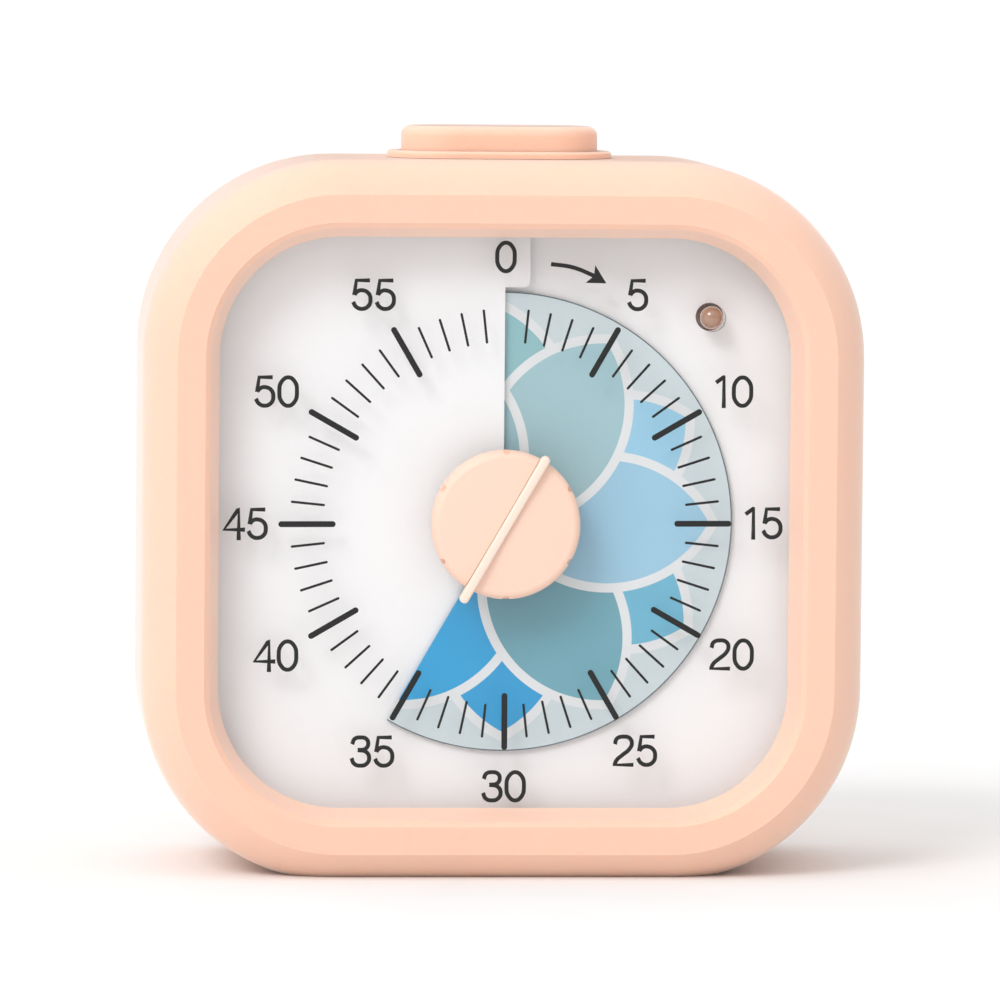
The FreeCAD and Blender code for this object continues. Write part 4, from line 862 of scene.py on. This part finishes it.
class TIMER_OT_cells(bpy.types.Operator):
    """Plain jackets with bare ends for the two cells, and wire springs for their contacts"""

    bl_idname = "timer.cells"
    bl_label = "Cells and springs"

    def execute(self, context):
        nickel = metal("nickel_plate", (0.72, 0.71, 0.68), roughness=0.22)
        dress(nickel, "contact_plates")
        self.add_jacket("battery_cell_lower", 1.0)
        self.add_jacket("battery_cell_upper", -1.0)
        self.add_springs(nickel)
        return {"FINISHED"}

    def add_jacket(self, name, towards):
        """The finish of a cell whose nub is on the right, 1, or on the left, -1."""
        colours = bpy.context.scene.timer_colours
        low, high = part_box(name)
        jacket, make, shader = new_material(name + "_jacket")
        along = make.math("MULTIPLY", make.split(make.place())["X"], towards)
        tail = min(low.x * towards, high.x * towards)
        from_tail = make.math("SUBTRACT", along, tail)
        covered = between(make, from_tail, BARE_TAIL, high.x - low.x - BARE_NUB)
        band = between(make, from_tail, BAND_START, BAND_END)
        body = make.mix(band, opaque(colours.jacket), opaque(colours.band))
        bare = opaque((0.75, 0.74, 0.72))
        make.link(make.mix(covered, bare, body), shader.inputs["Base Color"])
        make.link(make.ranged(covered, 1.0, 0.55), shader.inputs["Metallic"])
        add_brushing(make, shader, (300.0, 5000.0, 5000.0), 0.27)
        dress(jacket, name)

    def add_springs(self, nickel):
        """Two cone springs, wound round the line of each cell."""
        low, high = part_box("contact_springs")
        reach = abs(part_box("battery_cell_lower")[0].x - low.x)
        base = (high.y - low.y) / 2
        shape = bmesh.new()
        self.wind_spring(shape, middle_of("battery_cell_lower"), low.x, reach, base)
        self.wind_spring(shape, middle_of("battery_cell_upper"), high.x, -reach, base)
        bmesh.ops.recalc_face_normals(shape, faces=shape.faces)
        springs = finish_piece(shape, "battery_springs", nickel, "case")
        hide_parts("contact_springs")

    def wind_spring(self, shape, cell, start, reach, base):
        """A spring round a cell's line, from the x of its base and as long as its reach."""
        sizes = bpy.context.scene.timer_sizes
        wire = sizes.spring_wire
        side = math.copysign(1.0, reach)
        steps = STEPS_A_TURN * sizes.spring_turns
        ring = bmesh.ops.create_circle(shape, segments=WIRE_SIDES, radius=wire)["verts"]
        upright = Matrix.Rotation(math.radians(90), 4, "X")
        bmesh.ops.transform(shape, matrix=upright, verts=ring)
        foot = (start + side * wire, cell.y, cell.z + base - wire)
        bmesh.ops.translate(shape, vec=foot, verts=ring)
        edges = list({edge for vert in ring for edge in vert.link_edges})
        advance = side * (abs(reach) - 2 * wire) / steps
        wound = bmesh.ops.spin(
            shape, geom=ring + edges, cent=cell, axis=(1.0, 0.0, 0.0), dvec=(advance, 0.0, 0.0),
            angle=math.tau * sizes.spring_turns, steps=steps,
        )
        ends = [item for item in wound["geom_last"] if isinstance(item, bmesh.types.BMEdge)]
        bmesh.ops.contextual_create(shape, geom=edges)
        bmesh.ops.contextual_create(shape, geom=ends)
        for vert in shape.verts:
            share = (vert.co.x - start) * side / abs(reach)
            if 0.0 <= share <= 1.0 and (vert.co - cell).yz.length < base * 1.2:
                narrow = 1.0 - share * (1.0 - SPRING_TAPER)
                vert.co.y = cell.y + (vert.co.y - cell.y) * narrow
                vert.co.z = cell.z + (vert.co.z - cell.z) * narrow


class TIMER_OT_movement(bpy.types.Operator):
    """Finishes of the inner frame, gears, motor and shaft"""

    bl_idname = "timer.movement"
    bl_label = "Movement and inner frame"

    def execute(self, context):
        inner = moulded("inner_plastic", shade(222, 221, 216), roughness=0.45, grain=2600.0)
        dress(inner, "dial_chassis", "movement_front", "movement_back")
        nylon = moulded(
            "gear_nylon", shade(238, 236, 228), roughness=0.35, grain=2000.0, height=2 * MICRON,
        )
        dress(nylon, "centre_wheel", "intermediate_wheel", "rotor_pinion")
        steel = metal(
            "turned_steel", (0.56, 0.57, 0.58), roughness=0.25, stretch=(9000.0, 12000.0, 9000.0),
        )
        dress(
            steel, "knob_shaft", "intermediate_arbor", "rotor_arbor", "shaft_clip",
            "clutch_washer",
        )
        plate = metal(
            "rolled_steel", (0.5, 0.51, 0.52), roughness=0.36, stretch=(500.0, 9000.0, 9000.0),
        )
        dress(plate, "stator_plate", "coil_core")
        dress(metal("turned_brass", (0.80, 0.60, 0.28), roughness=0.24), "shaft_bush")
        magnet = moulded("magnet_black", shade(45, 45, 48), roughness=0.6, grain=4000.0)
        dress(magnet, "rotor_magnet")
        dress(moulded("bobbin_black", shade(30, 30, 32), roughness=0.4), "coil_bobbin")
        dress(self.winding(), "coil_winding")
        return {"FINISHED"}

    def winding(self):
        """Copper wire, laid turn by turn along the coil."""
        copper, make, shader = new_material("copper_winding")
        turns = make.add("ShaderNodeTexWave", wave_type="BANDS", bands_direction="X")
        turns.inputs["Scale"].default_value = 1600.0
        make.link(make.place(), turns.inputs["Vector"])
        make.link(make.bump(turns.outputs["Fac"], 40 * MICRON), shader.inputs["Normal"])
        make.link(make.ranged(turns.outputs["Fac"], 0.25, 0.4), shader.inputs["Roughness"])
        shader.inputs["Base Color"].default_value = (0.62, 0.24, 0.1, 1.0)
        shader.inputs["Metallic"].default_value = 1.0
        return copper


class TIMER_OT_boards(bpy.types.Operator):
    """Solder mask with faint tracks for the boards, and finishes of their components"""

    bl_idname = "timer.boards"
    bl_label = "Circuit boards"

    def execute(self, context):
        dress(self.solder_mask(), "circuit_board", "lamp_board", "switch_board")
        black = moulded("component_black", shade(34, 34, 36), roughness=0.45, grain=3600.0)
        dress(
            black, "timer_chip", "buzzer", "volume_switch_body", "button_switch",
            "switch_plunger",
        )
        slider = moulded("slider_black", shade(52, 50, 50), roughness=0.5, grain=2600.0)
        dress(slider, "volume_slider")
        dress(metal("tinned_metal", (0.7, 0.7, 0.69), roughness=0.3), "quartz_can", "lamp_leads")
        return {"FINISHED"}

    def solder_mask(self):
        """Green solder mask, a little paler over its tracks."""
        mask, make, shader = new_material("solder_mask")
        place = make.place()
        upright = make.add("ShaderNodeMapping")
        upright.inputs["Rotation"].default_value = (math.radians(90), 0.0, 0.0)
        make.link(place, upright.inputs["Vector"])
        tracks = make.add("ShaderNodeTexBrick")
        make.link(upright.outputs["Vector"], tracks.inputs["Vector"])
        tracks.inputs["Scale"].default_value = 260.0
        tracks.inputs["Mortar Size"].default_value = 0.06
        tracks.inputs["Color1"].default_value = opaque(shade(20, 96, 58))
        tracks.inputs["Color2"].default_value = opaque(shade(18, 88, 54))
        tracks.inputs["Mortar"].default_value = opaque(shade(44, 128, 80))
        make.link(tracks.outputs["Color"], shader.inputs["Base Color"])
        make.link(make.ranged(make.noise(place, 900.0), 0.25, 0.4), shader.inputs["Roughness"])
        return mask


class TIMER_OT_fasteners(bpy.types.Operator):
    """Bright steel for all screws"""

    bl_idname = "timer.fasteners"
    bl_label = "Screws"

    def execute(self, context):
        steel = metal(
            "screw_steel", (0.6, 0.6, 0.61), roughness=0.28, stretch=(7000.0, 7000.0, 7000.0),
        )
        dress(
            steel, "housing_screws", "chassis_screws", "movement_screws", "board_screws",
            "switch_board_screws",
        )
        return {"FINISHED"}


FLOOR_HALF = 40.0
# The world's strength: its least, what a direction straight up adds, and one straight left.
WORLD_LEAST = 0.15
WORLD_ABOVE = 1.15
WORLD_BESIDE = 0.5
# The sun: where it shines from, its strength and its width in degrees.
SUN_SOURCE = Vector((-0.45, -0.62, 0.64))
SUN_STRENGTH = 1.15
SUN_SPREAD = 24.0
# The camera's place, and its turns in degrees from looking straight at the dial.
CAMERA_PLACE = Vector((-0.0738, -1.0, DIAL_Z + 0.0737))
CAMERA_YAW = -4.25
CAMERA_PITCH = -4.10
CAMERA_ROLL = 0.51


class TIMER_OT_stage(bpy.types.Operator):
    """Pale floor, soft light and the camera"""

    bl_idname = "timer.stage"
    bl_label = "Stage, lights and camera"

    def execute(self, context):
        context.scene.view_settings.view_transform = "Standard"
        self.add_floor()
        self.add_world(context.scene)
        self.add_sun(context.scene)
        self.add_camera(context.scene)
        return {"FINISHED"}

    def add_floor(self):
        """A wide pale floor, which fills the background of the picture."""
        shape = bmesh.new()
        bmesh.ops.create_grid(shape, x_segments=1, y_segments=1, size=FLOOR_HALF)
        floor = bpy.data.objects.new("studio_floor", bpy.data.meshes.new("studio_floor"))
        shape.to_mesh(floor.data)
        shape.free()
        pale = moulded("pale_floor", shade(238, 238, 238), roughness=0.8, grain=300.0)
        floor.data.materials.append(pale)
        bpy.context.scene.collection.objects.link(floor)

    def add_world(self, scene):
        """Light from above and from the left, and white where the camera sees past the floor."""
        world = bpy.data.worlds.new("studio")
        world.use_nodes = True
        make = Nodes(world.node_tree)
        sky = world.node_tree.nodes["Background"]
        way = make.split(make.add("ShaderNodeTexCoord").outputs["Generated"])
        above = make.math("MULTIPLY", make.math("MAXIMUM", way["Z"], 0.0), WORLD_ABOVE)
        beside = make.math("MULTIPLY", make.math("MINIMUM", way["X"], 0.0), -WORLD_BESIDE)
        lit = make.math("ADD", make.math("ADD", above, beside), WORLD_LEAST)
        seen = make.add("ShaderNodeLightPath").outputs["Is Camera Ray"]
        make.link(make.math("MAXIMUM", lit, seen), sky.inputs["Strength"])
        sky.inputs["Color"].default_value = (1.0, 1.0, 1.0, 1.0)
        scene.world = world

    def add_sun(self, scene):
        """A far soft light from the front left and above."""
        data = bpy.data.lights.new("key_light", "SUN")
        data.energy = SUN_STRENGTH
        data.angle = math.radians(SUN_SPREAD)
        light = bpy.data.objects.new("key_light", data)
        light.rotation_euler = SUN_SOURCE.to_track_quat("Z", "Y").to_euler()
        scene.collection.objects.link(light)

    def add_camera(self, scene):
        """A long lens a little to the left of the dial and above it."""
        data = bpy.data.cameras.new("camera")
        data.sensor_width = 36.0
        data.lens = scene.timer_sizes.camera_lens
        data.clip_start = 0.01
        data.clip_end = 20.0
        camera = bpy.data.objects.new("camera", data)
        place = Matrix.Translation(CAMERA_PLACE)
        yaw = Matrix.Rotation(math.radians(CAMERA_YAW), 4, "Z")
        pitch = Matrix.Rotation(math.radians(90 + CAMERA_PITCH), 4, "X")
        roll = Matrix.Rotation(math.radians(CAMERA_ROLL), 4, "Z")
        camera.matrix_world = place @ yaw @ pitch @ roll
        scene.collection.objects.link(camera)
        scene.camera = camera


OPERATORS = (
    TIMER_OT_stage,
    TIMER_OT_sleeve,
    TIMER_OT_housings,
    TIMER_OT_lens,
    TIMER_OT_marks,
    TIMER_OT_numbers,
    TIMER_OT_arrow,
    TIMER_OT_face,
    TIMER_OT_disc,
    TIMER_OT_knob,
    TIMER_OT_lamp,
    TIMER_OT_cells,
    TIMER_OT_movement,
    TIMER_OT_boards,
    TIMER_OT_fasteners,
)


class TIMER_PT_panel(bpy.types.Panel):
    """Lists the steps that dress the timer"""

    bl_idname = "TIMER_PT_panel"
    bl_label = "Countdown Timer"
    bl_space_type = "VIEW_3D"
    bl_region_type = "UI"
    bl_category = "Timer"

    def draw(self, context):
        for operator in OPERATORS:
            self.layout.operator(operator.bl_idname)


CLASSES = (TimerSizes, TimerColours, *OPERATORS, TIMER_PT_panel)


def register():
    """Registers the classes and their settings."""
    for item in CLASSES:
        bpy.utils.register_class(item)
    bpy.types.Scene.timer_sizes = PointerProperty(type=TimerSizes)
    bpy.types.Scene.timer_colours = PointerProperty(type=TimerColours)


def unregister():
    """Takes the settings and classes away again."""
    del bpy.types.Scene.timer_colours
    del bpy.types.Scene.timer_sizes
    for item in reversed(CLASSES):
        bpy.utils.unregister_class(item)


def main():
    """Runs every step in order."""
    register()
    for operator in OPERATORS:
        group, name = operator.bl_idname.split(".")
        getattr(getattr(bpy.ops, group), name)()


if __name__ == "__main__":
    main()
